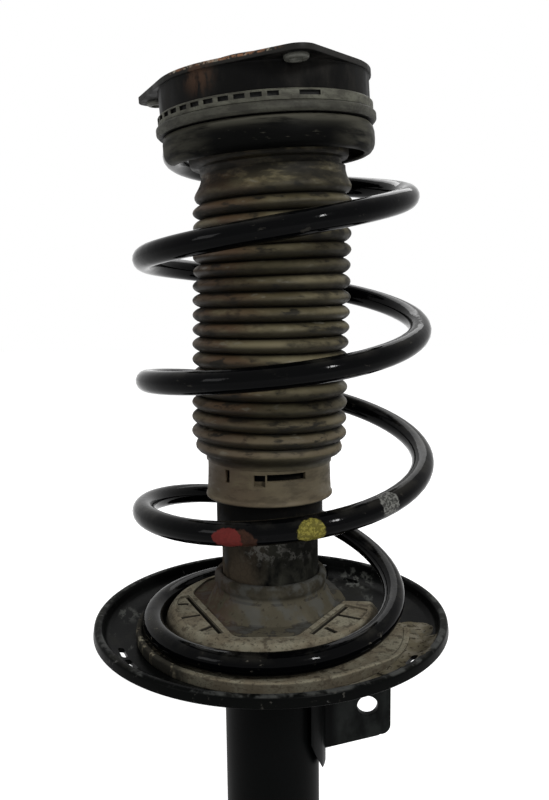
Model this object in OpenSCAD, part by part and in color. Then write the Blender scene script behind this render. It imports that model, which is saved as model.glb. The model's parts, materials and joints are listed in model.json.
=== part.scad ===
// Front suspension strut: a twin-tube damper with its coil spring, rubber seats, dust boot,
// strut bearing and three-bolt top mount. Millimetres. +Z runs up the strut's axis from the
// bottom end of the damper tube, +X points to the side that carries the link bracket.

/* [Damper tube] */
// Outside diameter of the damper tube, which is also the knuckle clamp's bore
tube_d = 55; // [50:0.5:60]
// Wall of the damper tube
tube_wall = 2.5; // [2:0.1:3]
// Length of bare tube below the stop bead, for the knuckle clamp
clamp_length = 78; // [60:1:85]
// Height of the spring dish's floor above the bottom end of the tube
dish_z = 205; // [195:1:230]
// Height of the tube's rolled top above the dish floor
tube_top = 106; // [100:1:108]

/* [Piston rod] */
// Diameter of the chromed piston rod
rod_d = 22; // [20:0.5:22]
// Diameter of the rod's threaded top end
rod_thread_d = 14; // [12:1:14]

/* [Spring dish] */
// Outside diameter over the rolled rim
dish_d = 202.4; // [196:0.2:210]
// Height of the rim above the floor
rim_height = 10; // [8:0.5:12]
// Thickness of the pressed sheet
dish_sheet = 2.5; // [2:0.1:3]
// Outside diameter of the neck that is welded round the tube
neck_d = 64; // [63:0.5:66]
// Height of the neck's top above the floor
neck_top = 34.6; // [33:0.2:36]
// Height of the raised platform round the neck, above the floor
platform_top = 15; // [14.5:0.1:15.5]

/* [Coil spring] */
// Diameter of the spring wire
wire_d = 12; // [11:0.5:12]
// Height of the wire's centre above the dish floor on the lower pad
wire_low = 9.6; // [9.6:0.1:10]
// Height of the wire's centre above the dish floor in the upper seat, on the axis
wire_high = 270; // [269.5:0.1:270]
// Radius of the end coil in the upper seat
top_coil_r = 50; // [49.9:0.1:50.2]
// Radius of the end coil on the lower pad
low_coil_r = 68.5; // [68:0.1:69]
// Number of turns, dead ends included
turns = 4.75; // [4.5:0.05:4.8]

/* [Dust boot] */
// Outside diameter over the ribs
boot_d = 86.6; // [84:0.2:88]
// Height from rib to rib
rib_pitch = 8.15; // [8:0.05:8.3]
// Number of full ribs
rib_count = 16; // [15:1:16]

/* [Top mount] */
// Height above the dish floor at which the bearing's axis meets the rod's axis
mount_z = 292; // [291:0.5:294]
// Tilt of the bearing's axis from the rod's axis
mount_tilt = 4.7; // [0:0.1:5]
// Compass direction of that tilt, from +X towards +Y
tilt_azimuth = 217.6; // [200:0.1:235]
// Radius of the mount's skirt
skirt_r = 56; // [55.5:0.1:56.3]
// Radius of the circle that the three bolt centres lie on
bolt_circle_r = 61; // [60.8:0.1:61.5]
// Direction of the first bolt, in front
bolt_azimuth = 285; // [270:1:290]
// Radius of the tapped hole in each captive nut
nut_hole_r = 3.4; // [3.2:0.1:3.5]

/* [Link bracket] */
// Height of the link hole below the dish floor
link_drop = 48.5; // [46:0.5:52]
// Distance of the link hole from the strut's axis
link_reach = 56; // [52:0.5:58]
// Radius of the link hole
link_hole_r = 6.1; // [5:0.1:6.5]
// Thickness of the bracket's plate
link_plate = 4.5; // [4:0.1:5]

/* [Hidden] */
$fn = 96;

// Gaps: a running fit, a loose fit in one body, and the room between moving bodies.
run_gap = 0.03;
fit_gap = 0.05;
move_gap = 0.3;
cut = 1;            // how far a cutter runs past a face

// Colours
black_paint = [0.10, 0.11, 0.12];
worn_black = [0.17, 0.17, 0.17];
bare_steel = [0.62, 0.63, 0.64];
chrome = [0.80, 0.81, 0.83];
dusty_rubber = [0.42, 0.40, 0.36];
dark_rubber = [0.13, 0.13, 0.13];
pad_beige = [0.55, 0.53, 0.46];
olive_plastic = [0.40, 0.41, 0.36];

// Damper tube and what it holds
tube_r = tube_d / 2;
bore_r = tube_r - tube_wall;
tube_len = dish_z + tube_top;
bead_h = 5;
bead_out = 2.2;
lip_h = 1.5;
lip_r = 20;
cap_recess = 1;
cap_h = 6;
valve_flange_h = 10;
valve_z = cap_recess + cap_h;
pressure_r = 17.5;
pressure_wall = 1.5;
pressure_bore = pressure_r - pressure_wall;
pressure_z = valve_z + valve_flange_h;
rod_r = rod_d / 2;
thread_r = rod_thread_d / 2;
seal_h = 6;
seal_z = tube_len - lip_h - seal_h;
guide_h = 20;
guide_z = seal_z - guide_h;
spigot_h = 10;
bush_r = rod_r + 1.5;
bush_h = 24;
bush_z = guide_z - 5;

// Piston end of the rod, at full extension
stop_h = 20;
stop_z = guide_z - spigot_h - 0.5 - stop_h;
ring_h = 3;
ring_z = stop_z - ring_h;
piston_h = 16;
shim_h = 2.4;
stub_r = 8;
shoulder_z = ring_z - 22;
piston_z = shoulder_z - shim_h - piston_h;
piston_nut_h = 10;
piston_nut_z = piston_z - shim_h - piston_nut_h;
band_h = 8;
band_depth = 1.6;

// Bump cap, boot collar and boot, heights above the dish floor
cap_bottom = 62;
cap_top = 110;
cap_wall = 2.7;
collar_bottom = 79.75;
collar_top = 103;
collar_r = 34.4;
collar_flare_r = 35.75;
boot_wall = 1.6;
rib_depth = 4.3;
first_rib = 115.7;
boot_lean = 1.6;                           // the free boot leans towards +X
rib_r = boot_d / 2;

// Coil spring, by stations of [turns from the upper end, value]
wire_r = wire_d / 2;
first_azimuth = 330;                       // direction of the wire's upper end
coil_height = [
    [0, wire_high], [0.5, wire_high], [1, 237], [1.5, 203.5], [2, 174], [2.5, 135],
    [3, 100], [3.5, 68], [3.9, 22], [4.15, 10], [turns, wire_low]
];
coil_radius = [
    [0, top_coil_r], [0.55, top_coil_r], [0.8, 77], [1, 71], [2, 75], [2.9, 76],
    [3.4, 78], [3.9, 67], [4.2, low_coil_r], [turns, low_coil_r]
];
seat_slope_x = -sin(mount_tilt) * cos(tilt_azimuth);
seat_slope_y = -sin(mount_tilt) * sin(tilt_azimuth);
end_coil_h = (wire_high - mount_z) / cos(mount_tilt);   // the end coil's plane, along the bearing's axis
seat_x = -end_coil_h * seat_slope_x;
seat_y = -end_coil_h * seat_slope_y;
coil_bow = [[0, seat_x], [0.5, seat_x], [1, 4], [2, 9], [3, 9], [4.1, 1], [turns, 1]];
coil_lean = [[0, seat_y], [0.5, seat_y], [1.5, 0], [3, -5], [4.1, -3], [turns, -3]];
slope_x = [[0, seat_slope_x], [0.5, seat_slope_x], [2, -0.055], [3.5, -0.02], [4.3, 0], [turns, 0]];
slope_y = [[0, seat_slope_y], [0.5, seat_slope_y], [2, 0.10], [3.5, 0.10], [4.3, 0], [turns, 0]];
rings_per_turn = 24;
wire_sides = 6;
coil_rings = round(turns * rings_per_turn);
pad_centre = [1, -3];

// Bearing and mount, heights along the bearing's axis from where it meets the rod's axis
skirt_bottom = -4.1;
flange_bottom = 8.8;
flange_h = 2.8;
skirt_wall = 2.5;
upper_ring_r = 57.5;
lower_ring_r = 58.9;
upper_ring_h = 5.15;
ring_bore = 44.9;
split = skirt_bottom - upper_ring_h;       // underside of the upper ring
lower_top = split - move_gap;
lower_bottom = skirt_bottom - 10.4;
ball_r = 3;
ball_track_r = 51;
ball_count = 28;
ball_h = (split + lower_top) / 2;
track_half = 4.6;                          // half the width of the cage's recess
cage_h = 1.2;
slot_pitch = 8;
slot_w = 5.5;
slot_h = 2.2;
lobe_r = 10.3;
nut_barrel_r = 5;
nut_head_r = 6;
nut_head_h = 2.5;
nut_recess = 0.4;                          // how deep the head sits in the flange
flange_disc_r = 57.2;
cup_r = 32;
cup_top = 19.8;
cup_hole_r = 24;
core_r = 19;
core_half = 9;
hub_r = 12.5;
hub_half = 10;
washer_h = 2.5;
rod_nut_h = 10.5;
seat_bottom = -30.2;
seat_r = 57.6;
seat_gap = 0.5;                              // round the wire, which starts to leave before the exit
seat_exit = [76, 206];                     // directions between which the wire leaves the seat
wire_leaves = (seat_exit[0] + seat_exit[1]) / 2;
bump_stop_h = 66;

function smooth(table, t) = [for (d = [-4:4]) lookup(t + d * 0.05, table)] * [for (d = [-4:4]) 1 / 9];
function unit(v) = v / norm(v);

// Centre of the wire, t turns from its upper end
function coil_at(t) =
    let (a = first_azimuth - 360 * t, r = smooth(coil_radius, t))
    [
        smooth(coil_bow, t) + r * cos(a),
        smooth(coil_lean, t) + r * sin(a),
        dish_z + smooth(coil_height, t) + r * (smooth(slope_x, t) * cos(a) + smooth(slope_y, t) * sin(a))
    ];

// One ring of the wire's skin, square to its path
function coil_ring(t) =
    let (
        c = coil_at(t),
        along = unit(coil_at(t + 0.01) - coil_at(t - 0.01)),
        a = first_azimuth - 360 * t,
        up = unit(cross([cos(a), sin(a), 0], along)),
        out = cross(along, up)
    )
    [for (k = [0:wire_sides - 1]) c + wire_r * (cos(60 * k) * out + sin(60 * k) * up)];

// Least gap between turns of the coil, from wire skin to wire skin
coil_centres = [for (i = [0:coil_rings]) coil_at(i / rings_per_turn)];
coil_gap = min([
    for (i = [0:coil_rings], j = [i + 12:1:coil_rings]) norm(coil_centres[i] - coil_centres[j])
]) - wire_d;
echo(least_gap_between_coils = coil_gap);

// Turns its children from the rod's axis to the bearing's axis, about their crossing point
module on_mount() {
    translate([0, 0, dish_z + mount_z])
        rotate([0, 0, tilt_azimuth])
        rotate([0, mount_tilt, 0])
        rotate([0, 0, -tilt_azimuth])
        children();
}

// A ring between two radii, from a height upwards
module ring(outer, inner, height, z = 0) {
    translate([0, 0, z])
        difference() {
            cylinder(r = outer, h = height);
            translate([0, 0, -cut])
                cylinder(r = inner, h = height + 2 * cut);
        }
}

module hexagon_nut(across, bore, height, z = 0) {
    translate([0, 0, z])
        difference() {
            linear_extrude(height)
                circle(d = across / cos(30), $fn = 6);
            translate([0, 0, -cut])
                cylinder(r = bore, h = height + 2 * cut);
        }
}

module damper_tube() {
    color(black_paint)
    rotate_extrude()
    polygon([
        [bore_r, 0], [tube_r, 0],
        [tube_r, clamp_length], [tube_r + bead_out, clamp_length + 1],
        [tube_r + bead_out, clamp_length + bead_h - 1], [tube_r, clamp_length + bead_h],
        [tube_r, tube_len - 2], [tube_r - 2, tube_len],
        [lip_r, tube_len], [lip_r, tube_len - lip_h], [bore_r, tube_len - lip_h]
    ]);
}

module base_cap() {
    color(worn_black)
    rotate_extrude()
    polygon([
        [0, cap_recess + 2], [bore_r - 6, cap_recess + 2], [bore_r - 3, cap_recess],
        [bore_r - fit_gap, cap_recess], [bore_r - fit_gap, cap_recess + cap_h], [0, cap_recess + cap_h]
    ]);
}

// Foot valve: a flange on the base cap, a spigot in the pressure tube and eight oil passages
module base_valve() {
    color(bare_steel)
    difference() {
        union() {
            translate([0, 0, valve_z])
                cylinder(r = bore_r - 1, h = valve_flange_h);
            translate([0, 0, valve_z])
                cylinder(r = pressure_bore - fit_gap, h = valve_flange_h + 8);
        }
        translate([0, 0, valve_z + 4])
            cylinder(r = 5, h = valve_flange_h + 8);
        for (a = [0:45:315])
            rotate([0, 0, a])
            translate([10.5, 0, valve_z + 3])
            cylinder(r = 1.8, h = valve_flange_h + 8);
    }
}

module pressure_tube() {
    color(bare_steel)
    ring(pressure_r, pressure_bore, guide_z - pressure_z, pressure_z);
}

module rod_guide() {
    color(bare_steel)
    difference() {
        union() {
            translate([0, 0, guide_z])
                cylinder(r = bore_r - fit_gap, h = guide_h);
            translate([0, 0, guide_z - spigot_h])
                cylinder(r = pressure_bore - fit_gap, h = spigot_h + cut);
        }
        translate([0, 0, guide_z - spigot_h - cut])
            cylinder(r = rod_r + 0.6, h = guide_h + spigot_h + 2 * cut);
        translate([0, 0, bush_z])
            cylinder(r = bush_r, h = bush_h);
        for (a = [0:60:300])
            rotate([0, 0, a])
            translate([21, 0, guide_z - cut])
            cylinder(r = 1.6, h = guide_h + 2 * cut);
    }
}

module guide_bush() {
    color([0.72, 0.52, 0.28])
    ring(bush_r, rod_r + run_gap, bush_h, bush_z);
}

// Oil seal with an upper and a lower lip
module oil_seal() {
    color(dark_rubber)
    translate([0, 0, seal_z])
    rotate_extrude()
    polygon([
        [rod_r + run_gap, 0.5], [rod_r + 3, 0.5], [rod_r + 4, 2], [rod_r + 7, 0], [bore_r - fit_gap, 0],
        [bore_r - fit_gap, seal_h], [rod_r + 5, seal_h], [rod_r + 3, seal_h - 1.5],
        [rod_r + run_gap, seal_h - 0.5]
    ]);
}

// Section of the neck, from its weld ring down a cone to the platform
dish_r = dish_d / 2;
neck_r = neck_d / 2;
neck_section = [
    [tube_r + fit_gap, neck_top - 1], [tube_r + 1.4, neck_top], [neck_r - 1.4, neck_top - 0.2],
    [neck_r, neck_top - 2], [neck_r, neck_top - 5], [neck_r - 0.3, neck_top - 6.6],
    [neck_r + 0.2, neck_top - 8], [neck_r + 3.6, platform_top + 2.4], [neck_r + 4.6, platform_top + 0.6],
    [neck_r + 5.2, platform_top - 0.6], [neck_r + 3.2, platform_top - 1.6],
    [neck_r + 2.2, platform_top - 1], [neck_r + 1.4, platform_top + 1],
    [neck_r - 2.2, neck_top - 9], [tube_r + fit_gap, neck_top - 6]
];
// Section of the floor and its rolled rim
floor_section = [
    [30, 0], [dish_r - 15, 0], [dish_r - 9, 1.8], [dish_r - 6.6, 3.6], [dish_r - 5.4, rim_height - 1.4],
    [dish_r - 4.2, rim_height], [dish_r - 1.9, rim_height], [dish_r - 0.7, rim_height - 1],
    [dish_r, 4.4], [dish_r - 1.4, 4.2], [dish_r - 2.6, rim_height - 2.4], [dish_r - 3.2, rim_height - 2.4],
    [dish_r - 4.2, 3.6], [dish_r - 7.6, 0.2], [dish_r - 14, -dish_sheet], [30, -dish_sheet]
];
// Corners of the platform, which keys the pad in the dish
platform = [
    [-18.2, -50.6], [13.4, -50.6], [41.4, -4.6], [43.8, 0], [41.4, 15], [34, 37], [18, 49.5],
    [-18, 49.5], [-39.6, 32.6], [-46.8, 11.6]
];
// Drain slots, by direction and distance from the axis
drain_slots = [[203, 87], [213, 87], [318, 87], [328, 87], [52, 87], [22, 67]];
drain_slot_l = 9;
drain_slot_w = 3.2;

module spring_dish() {
    color(black_paint)
    translate([0, 0, dish_z])
    difference() {
        union() {
            rotate_extrude()
                polygon(neck_section);
            rotate_extrude()
                polygon(floor_section);
            translate([0, 0, -dish_sheet / 2])
                linear_extrude(platform_top + dish_sheet / 2)
                polygon(platform);
        }
        translate([0, 0, -dish_sheet - cut])
            linear_extrude(platform_top + cut)
            offset(delta = -dish_sheet)
            polygon(platform);
        cylinder(r = neck_r + 1, h = platform_top + 0.4);
        for (slot = drain_slots)
            rotate([0, 0, slot[0]])
            translate([slot[1], 0, 0]) {
                cube([drain_slot_w, drain_slot_l, 12], center = true);
                for (side = [-1, 1])
                    translate([0, side * drain_slot_l / 2, 0])
                    cylinder(d = drain_slot_w, h = 12, center = true);
            }
    }
}

bracket_edge_x = 69.5;
bracket_top = dish_z - 16;
bracket_low_in = dish_z - 75.5;
bracket_low_out = dish_z - 67;
bracket_corner = 6;
bracket_face_y = -4.5;
saddle_wall = 4;
saddle_top = dish_z - 12;
saddle_bottom = dish_z - 82;

// Plate with the link hole, on a saddle that is welded to the tube
module link_bracket() {
    color(black_paint)
    difference() {
        union() {
            translate([0, bracket_face_y + link_plate, 0])
                rotate([90, 0, 0])
                linear_extrude(link_plate)
                union() {
                    polygon([
                        [tube_r, bracket_top], [bracket_edge_x, bracket_top],
                        [bracket_edge_x, bracket_low_out + bracket_corner],
                        [bracket_edge_x - bracket_corner - 1, bracket_low_out],
                        [tube_r, bracket_low_in]
                    ]);
                    translate([bracket_edge_x - bracket_corner, bracket_low_out + bracket_corner + 0.6])
                        circle(r = bracket_corner);
                }
            intersection() {
                ring(tube_r + saddle_wall, tube_r + fit_gap, saddle_top - saddle_bottom, saddle_bottom);
                rotate([90, 0, 0])
                    linear_extrude(4 * tube_r, center = true)
                    polygon([
                        [22, saddle_top], [40, saddle_top], [40, saddle_bottom],
                        [29, saddle_bottom], [22, saddle_bottom + 20]
                    ]);
            }
        }
        translate([0, 0, saddle_bottom - cut])
            cylinder(r = tube_r + fit_gap, h = saddle_top - saddle_bottom + 2 * cut);
        translate([link_reach, -20, dish_z - link_drop])
            rotate([-90, 0, 0])
            cylinder(r = link_hole_r, h = 40);
    }
}

pad_r = 78;
pad_floor = 3.4;
pad_lip = 6.2;
pad_top = 16;
pad_edge_r = 56;                           // top edge of the raised part
pad_gap = [-6, 45];                        // directions between which the pad is open
groove_in = low_coil_r - wire_r - 1.5;
groove_out = low_coil_r + wire_r + 0.4;
// Lands beside the platform's two slanting front sides: direction of the side, distance of the
// slot, and where the slot starts and ends along the side
pad_lands = [[204.7, 41.2, -27, 32], [328.7, 41.2, -30, 15]];
// Directions of the short slots between the lands
land_slots = [181, 202, 224, 309, 333];

module land(side) {
    intersection() {
        translate(pad_centre)
            circle(r = pad_edge_r - 1);
        rotate(side[0])
            translate([side[1], side[2]])
            square([30, side[3] - side[2]]);
    }
}

// Moulded pad: an outer lip, a groove for the wire and a raised inner part round the dish's
// platform, with sunken lands between slots on its two slanting front sides
module lower_pad() {
    color(pad_beige)
    translate([0, 0, dish_z])
    difference() {
        translate(pad_centre)
            rotate_extrude()
            polygon([
                [30, 0], [pad_r, 0], [pad_r, pad_lip], [groove_out, pad_lip], [groove_out, pad_floor],
                [groove_in, pad_floor], [groove_in, 9], [groove_in - 0.8, 11.8],
                [pad_edge_r + 1.4, pad_top - 0.8], [pad_edge_r, pad_top], [30, pad_top]
            ]);
        translate([0, 0, -cut])
            linear_extrude(pad_top + 2 * cut)
            union() {
                offset(delta = 0.4)
                    polygon(platform);
                polygon([
                    [0, 0], for (a = [pad_gap[0]:17:pad_gap[1]]) 100 * [cos(a), sin(a)]
                ]);
            }
        for (side = pad_lands) {
            translate([0, 0, pad_top - 1.2])
                linear_extrude(3)
                land(side);
            translate([0, 0, pad_top - 6])
                linear_extrude(9)
                intersection() {
                    offset(delta = -0.1)
                        land(side);
                    union() {
                        rotate(side[0])
                            translate([side[1], side[2] - cut])
                            square([2.2, side[3] - side[2] + 2 * cut]);
                        for (a = land_slots)
                            translate(pad_centre)
                            rotate(a)
                            translate([30, -0.9])
                            square([40, 1.8]);
                    }
                }
        }
    }
}

// Plastic cap over the tube's top, which the bump stop lands on
module bump_cap() {
    color(worn_black)
    translate([0, 0, dish_z])
    rotate_extrude()
    polygon([
        [tube_r + fit_gap, cap_bottom], [tube_r + cap_wall - 0.5, cap_bottom],
        [tube_r + cap_wall, cap_bottom + 1.5], [tube_r + cap_wall, cap_top - 3],
        [tube_r + cap_wall - 3, cap_top], [rod_r + 4, cap_top], [rod_r + 4, tube_top + 0.1],
        [tube_r + fit_gap, tube_top + 0.1]
    ]);
}

// Clip ring at the boot's foot, with windows for its snap tabs
module boot_collar() {
    color(dusty_rubber)
    translate([0, 0, dish_z])
    difference() {
        rotate_extrude()
            polygon([
                [tube_r + cap_wall + fit_gap, collar_bottom + 5], [collar_flare_r - 2.2, collar_bottom],
                [collar_flare_r, collar_bottom], [collar_flare_r, collar_bottom + 1.5],
                [collar_r + 0.4, collar_bottom + 8], [collar_r, collar_top - 7], [collar_r, collar_top],
                [collar_r - 2, collar_top], [collar_r - 2, collar_top - 9],
                [tube_r + cap_wall + fit_gap, collar_top - 11]
            ]);
        for (a = [0:60:300])
            rotate([0, 0, a + 10])
            translate([collar_r, 0, collar_top - 6])
            cube([8, 14, 5], center = true);
    }
}

// Outline of one rib, from its lower valley to its upper valley
function rib(z, out) = [
    for (k = [0:6]) [out - rib_depth + rib_depth * sin(180 * k / 6), z + rib_pitch * (k / 6 - 0.5) * 0.96]
];
boot_side = concat(
    [
        [collar_r - 2.35, collar_top - 8], [collar_r - 2.35, collar_top + 1.4],
        [36.6, 106], [40.4, 108.2], [38.6, 110.9]
    ],
    [for (i = [0:rib_count - 1]) each rib(first_rib + i * rib_pitch, rib_r)],
    [[39, 242.6], [42.2, 244.2], [42.8, 246], [41.6, 248.4], [39.6, 251.4], [38.6, 254], [38.6, 256.8]]
);

// Bellows boot: a ribbed tube with a bead that sits in the upper seat
module dust_boot() {
    color(dusty_rubber)
    union() {
        translate([0, 0, dish_z + collar_top])
            rotate([0, boot_lean, 0])
            translate([0, 0, -collar_top])
            rotate_extrude()
            polygon(concat(boot_side, [for (i = [len(boot_side) - 1:-1:0]) boot_side[i] - [boot_wall, 0]]));
        on_mount()
            rotate_extrude()
            polygon([
                [35.5, -36], [41.5, -36], [41.5, -33.5], [38.9, -33.2], [38.9, -31.4], [42.4, -31.2],
                [43.3, -30], [43.3, -24.5], [42.4, -23.2], [41, -22.9], [41, lower_bottom - 0.2],
                [38.4, lower_bottom - 0.2], [38.4, -24], [37.1, -33]
            ]);
    }
}

module coil_spring() {
    color(black_paint)
    polyhedron(
        points = [for (i = [0:coil_rings]) each coil_ring(i / rings_per_turn)],
        faces = concat(
            [for (k = [1:wire_sides - 2]) [0, k, k + 1]],
            [
                for (i = [0:coil_rings - 1], k = [0:wire_sides - 1], half = [0, 1])
                let (
                    a = i * wire_sides + k,
                    b = i * wire_sides + (k + 1) % wire_sides
                )
                half == 0 ? [a, a + wire_sides, b] : [b, a + wire_sides, b + wire_sides]
            ],
            [for (k = [1:wire_sides - 2]) [coil_rings * wire_sides, coil_rings * wire_sides + k + 1,
                coil_rings * wire_sides + k]]
        )
    );
}

core_z = dish_z + mount_z;
washer_z = core_z - hub_half - washer_h;
rod_nut_z = core_z + hub_half + washer_h;
rod_top = rod_nut_z + rod_nut_h + 2.5;

module piston_rod() {
    color(chrome)
    union() {
        translate([0, 0, piston_nut_z - 1])
            cylinder(r = stub_r, h = shoulder_z - piston_nut_z + 1);
        translate([0, 0, shoulder_z])
            cylinder(r = rod_r, h = washer_z - shoulder_z);
        difference() {
            translate([0, 0, washer_z])
                cylinder(r = thread_r, h = rod_top - washer_z);
            translate([0, 0, rod_top - 7])
                linear_extrude(8)
                circle(d = 7, $fn = 6);
        }
    }
}

module piston() {
    color(bare_steel)
    difference() {
        union() {
            translate([0, 0, piston_z])
                cylinder(r = pressure_bore - 0.4, h = (piston_h - band_h) / 2);
            translate([0, 0, piston_z])
                cylinder(r = pressure_bore - band_depth, h = piston_h);
            translate([0, 0, piston_z + (piston_h + band_h) / 2])
                cylinder(r = pressure_bore - 0.4, h = (piston_h - band_h) / 2);
        }
        translate([0, 0, piston_z - cut])
            cylinder(r = stub_r + fit_gap, h = piston_h + 2 * cut);
        for (a = [0:60:300])
            rotate([0, 0, a])
            translate([11, 0, piston_z - cut])
            cylinder(r = 1.6, h = piston_h + 2 * cut);
    }
}

module piston_band() {
    color(dark_rubber)
    ring(pressure_bore - fit_gap, pressure_bore - band_depth, band_h, piston_z + (piston_h - band_h) / 2);
}

// A stack of valve shims, smallest at the outside
module shims(z, up) {
    step = shim_h / 3;
    for (i = [0:2])
        ring(14 - 1.5 * i, stub_r + fit_gap, step, up ? z + i * step : z + (2 - i) * step);
}

module rebound_shims() {
    color(bare_steel)
    shims(piston_z - shim_h, false);
}

module compression_shims() {
    color(bare_steel)
    shims(piston_z + piston_h, true);
}

module piston_nut() {
    color(bare_steel)
    hexagon_nut(20, stub_r + fit_gap, piston_nut_h, piston_nut_z);
}

module rebound_ring() {
    color(bare_steel)
    ring(14.5, rod_r, ring_h, ring_z);
}

module rebound_stop() {
    color(dark_rubber)
    translate([0, 0, stop_z])
    rotate_extrude()
    polygon([
        [rod_r, 0], [14.2, 0], [15, 2], [15, stop_h - 2], [14.2, stop_h], [rod_r, stop_h]
    ]);
}

// Foam bump stop that hangs under the top mount
module bump_stop() {
    color([0.80, 0.74, 0.55])
    translate([0, 0, washer_z - bump_stop_h])
    rotate_extrude()
    polygon([
        [rod_r + run_gap, 0], [15, 0], [18.5, 5], [19.5, 11], [17.4, 16], [21, 22], [21.8, 30],
        [19, 36], [23, 42], [24, 52], [24, bump_stop_h - 2], [23, bump_stop_h],
        [rod_r + run_gap, bump_stop_h]
    ]);
}

module lower_washer() {
    color(bare_steel)
    ring(24, thread_r + fit_gap, washer_h, washer_z);
}

// Steel core of the mount: a ball zone that the rubber grips, with a hub above and below
module mount_core() {
    color(bare_steel)
    translate([0, 0, core_z])
    difference() {
        union() {
            intersection() {
                sphere(r = core_r);
                cube([3 * core_r, 3 * core_r, 2 * core_half], center = true);
            }
            cylinder(r = hub_r, h = 2 * hub_half, center = true);
        }
        cylinder(r = thread_r + fit_gap, h = 4 * hub_half, center = true);
    }
}

module upper_washer() {
    color(bare_steel)
    ring(20, thread_r + fit_gap, washer_h, core_z + hub_half);
}

module rod_nut() {
    color(bare_steel)
    hexagon_nut(21, thread_r + fit_gap, rod_nut_h, rod_nut_z);
}

module bearing_lower_ring() {
    color(olive_plastic)
    on_mount()
    difference() {
        rotate_extrude()
            polygon([
                [ring_bore, lower_bottom], [lower_ring_r - 1.2, lower_bottom],
                [lower_ring_r, lower_bottom + 1.4], [lower_ring_r, lower_top - 0.8],
                [lower_ring_r - 0.8, lower_top], [ball_track_r + track_half, lower_top],
                [ball_track_r + track_half, ball_h - cage_h / 2 - 0.2],
                [ball_track_r - track_half, ball_h - cage_h / 2 - 0.2],
                [ball_track_r - track_half, lower_top], [ring_bore, lower_top]
            ]);
        rotate_extrude()
            translate([ball_track_r, ball_h])
            circle(r = ball_r + fit_gap);
    }
}

module bearing_cage() {
    color([0.25, 0.25, 0.24])
    on_mount()
    difference() {
        ring(ball_track_r + track_half - 0.3, ball_track_r - track_half + 0.3, cage_h, ball_h - cage_h / 2);
        for (i = [0:ball_count - 1])
            rotate([0, 0, i * 360 / ball_count])
            translate([ball_track_r, 0, ball_h - cage_h])
            cylinder(r = ball_r + fit_gap, h = 2 * cage_h);
    }
}

module bearing_balls() {
    color(chrome)
    on_mount()
    for (i = [0:ball_count - 1])
        rotate([0, 0, i * 360 / ball_count])
        translate([ball_track_r, 0, ball_h])
        sphere(r = ball_r);
}

// Rubber seat that wraps the top of the spring's end coil; its rim is open at the back, where
// the wire leaves it
module upper_spring_seat() {
    color(dark_rubber)
    on_mount()
    difference() {
        rotate_extrude()
            polygon([
                [ring_bore, lower_bottom], [seat_r - 2.6, lower_bottom], [seat_r - 0.9, lower_bottom - 1.8],
                [seat_r, lower_bottom - 5], [seat_r, seat_bottom + 4.6], [seat_r - 1.4, seat_bottom + 1.6],
                [seat_r - 3.8, seat_bottom], [top_coil_r + 1.4, seat_bottom],
                [top_coil_r + 1.4, end_coil_h], [ring_bore, end_coil_h]
            ]);
        rotate_extrude()
            translate([top_coil_r, end_coil_h])
            circle(r = wire_r + seat_gap);
        translate([0, 0, seat_bottom - cut])
            linear_extrude(end_coil_h + wire_r + seat_gap - seat_bottom + cut)
            polygon([
                [0, 0], 80 * [cos(seat_exit[0]), sin(seat_exit[0])],
                120 * [cos(wire_leaves), sin(wire_leaves)], 80 * [cos(seat_exit[1]), sin(seat_exit[1])]
            ]);
    }
}

// Upper race, clamped under the skirt, with a row of slots in its edge
module bearing_upper_ring() {
    color(olive_plastic)
    on_mount()
    difference() {
        union() {
            rotate_extrude()
                polygon([
                    [ring_bore, split], [ball_track_r - track_half, split],
                    [ball_track_r - track_half, ball_h + cage_h / 2 + 0.4],
                    [ball_track_r + track_half, ball_h + cage_h / 2 + 0.4],
                    [ball_track_r + track_half, split], [upper_ring_r, split],
                    [upper_ring_r, skirt_bottom - 0.8], [upper_ring_r - 0.8, skirt_bottom],
                    [ring_bore, skirt_bottom]
                ]);
            ring(skirt_r - skirt_wall - fit_gap, skirt_r - skirt_wall - 3, 5, skirt_bottom - 0.5);
        }
        rotate_extrude()
            translate([ball_track_r, ball_h])
            circle(r = ball_r + move_gap);
        for (a = [186:slot_pitch:276])
            rotate([0, 0, a])
            translate([upper_ring_r, 0, skirt_bottom - 2.2])
            cube([3.4, slot_w, slot_h], center = true);
        for (a = [10:slot_pitch:170])
            rotate([0, 0, a])
            translate([upper_ring_r, 0, skirt_bottom - 2.2])
            cube([3.4, slot_w, slot_h], center = true);
        rotate([0, 0, 292])
            translate([upper_ring_r, 0, skirt_bottom - 2.2])
            cube([3.4, 2 * slot_w, slot_h], center = true);
    }
}

// A lobe of the flange: a round tip and its tangent flanks
module lobe(azimuth, tip = lobe_r, disc = flange_disc_r) {
    lean = acos((disc - tip) / bolt_circle_r);
    rotate(azimuth) {
        polygon([
            [0, 0], [disc * cos(lean), -disc * sin(lean)],
            [bolt_circle_r + tip * cos(lean), -tip * sin(lean)],
            [bolt_circle_r + tip * cos(lean), tip * sin(lean)],
            [disc * cos(lean), disc * sin(lean)]
        ]);
        translate([bolt_circle_r, 0])
            circle(r = tip);
    }
}

bolt_azimuths = [for (k = [0:2]) bolt_azimuth + 120 * k];

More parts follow.
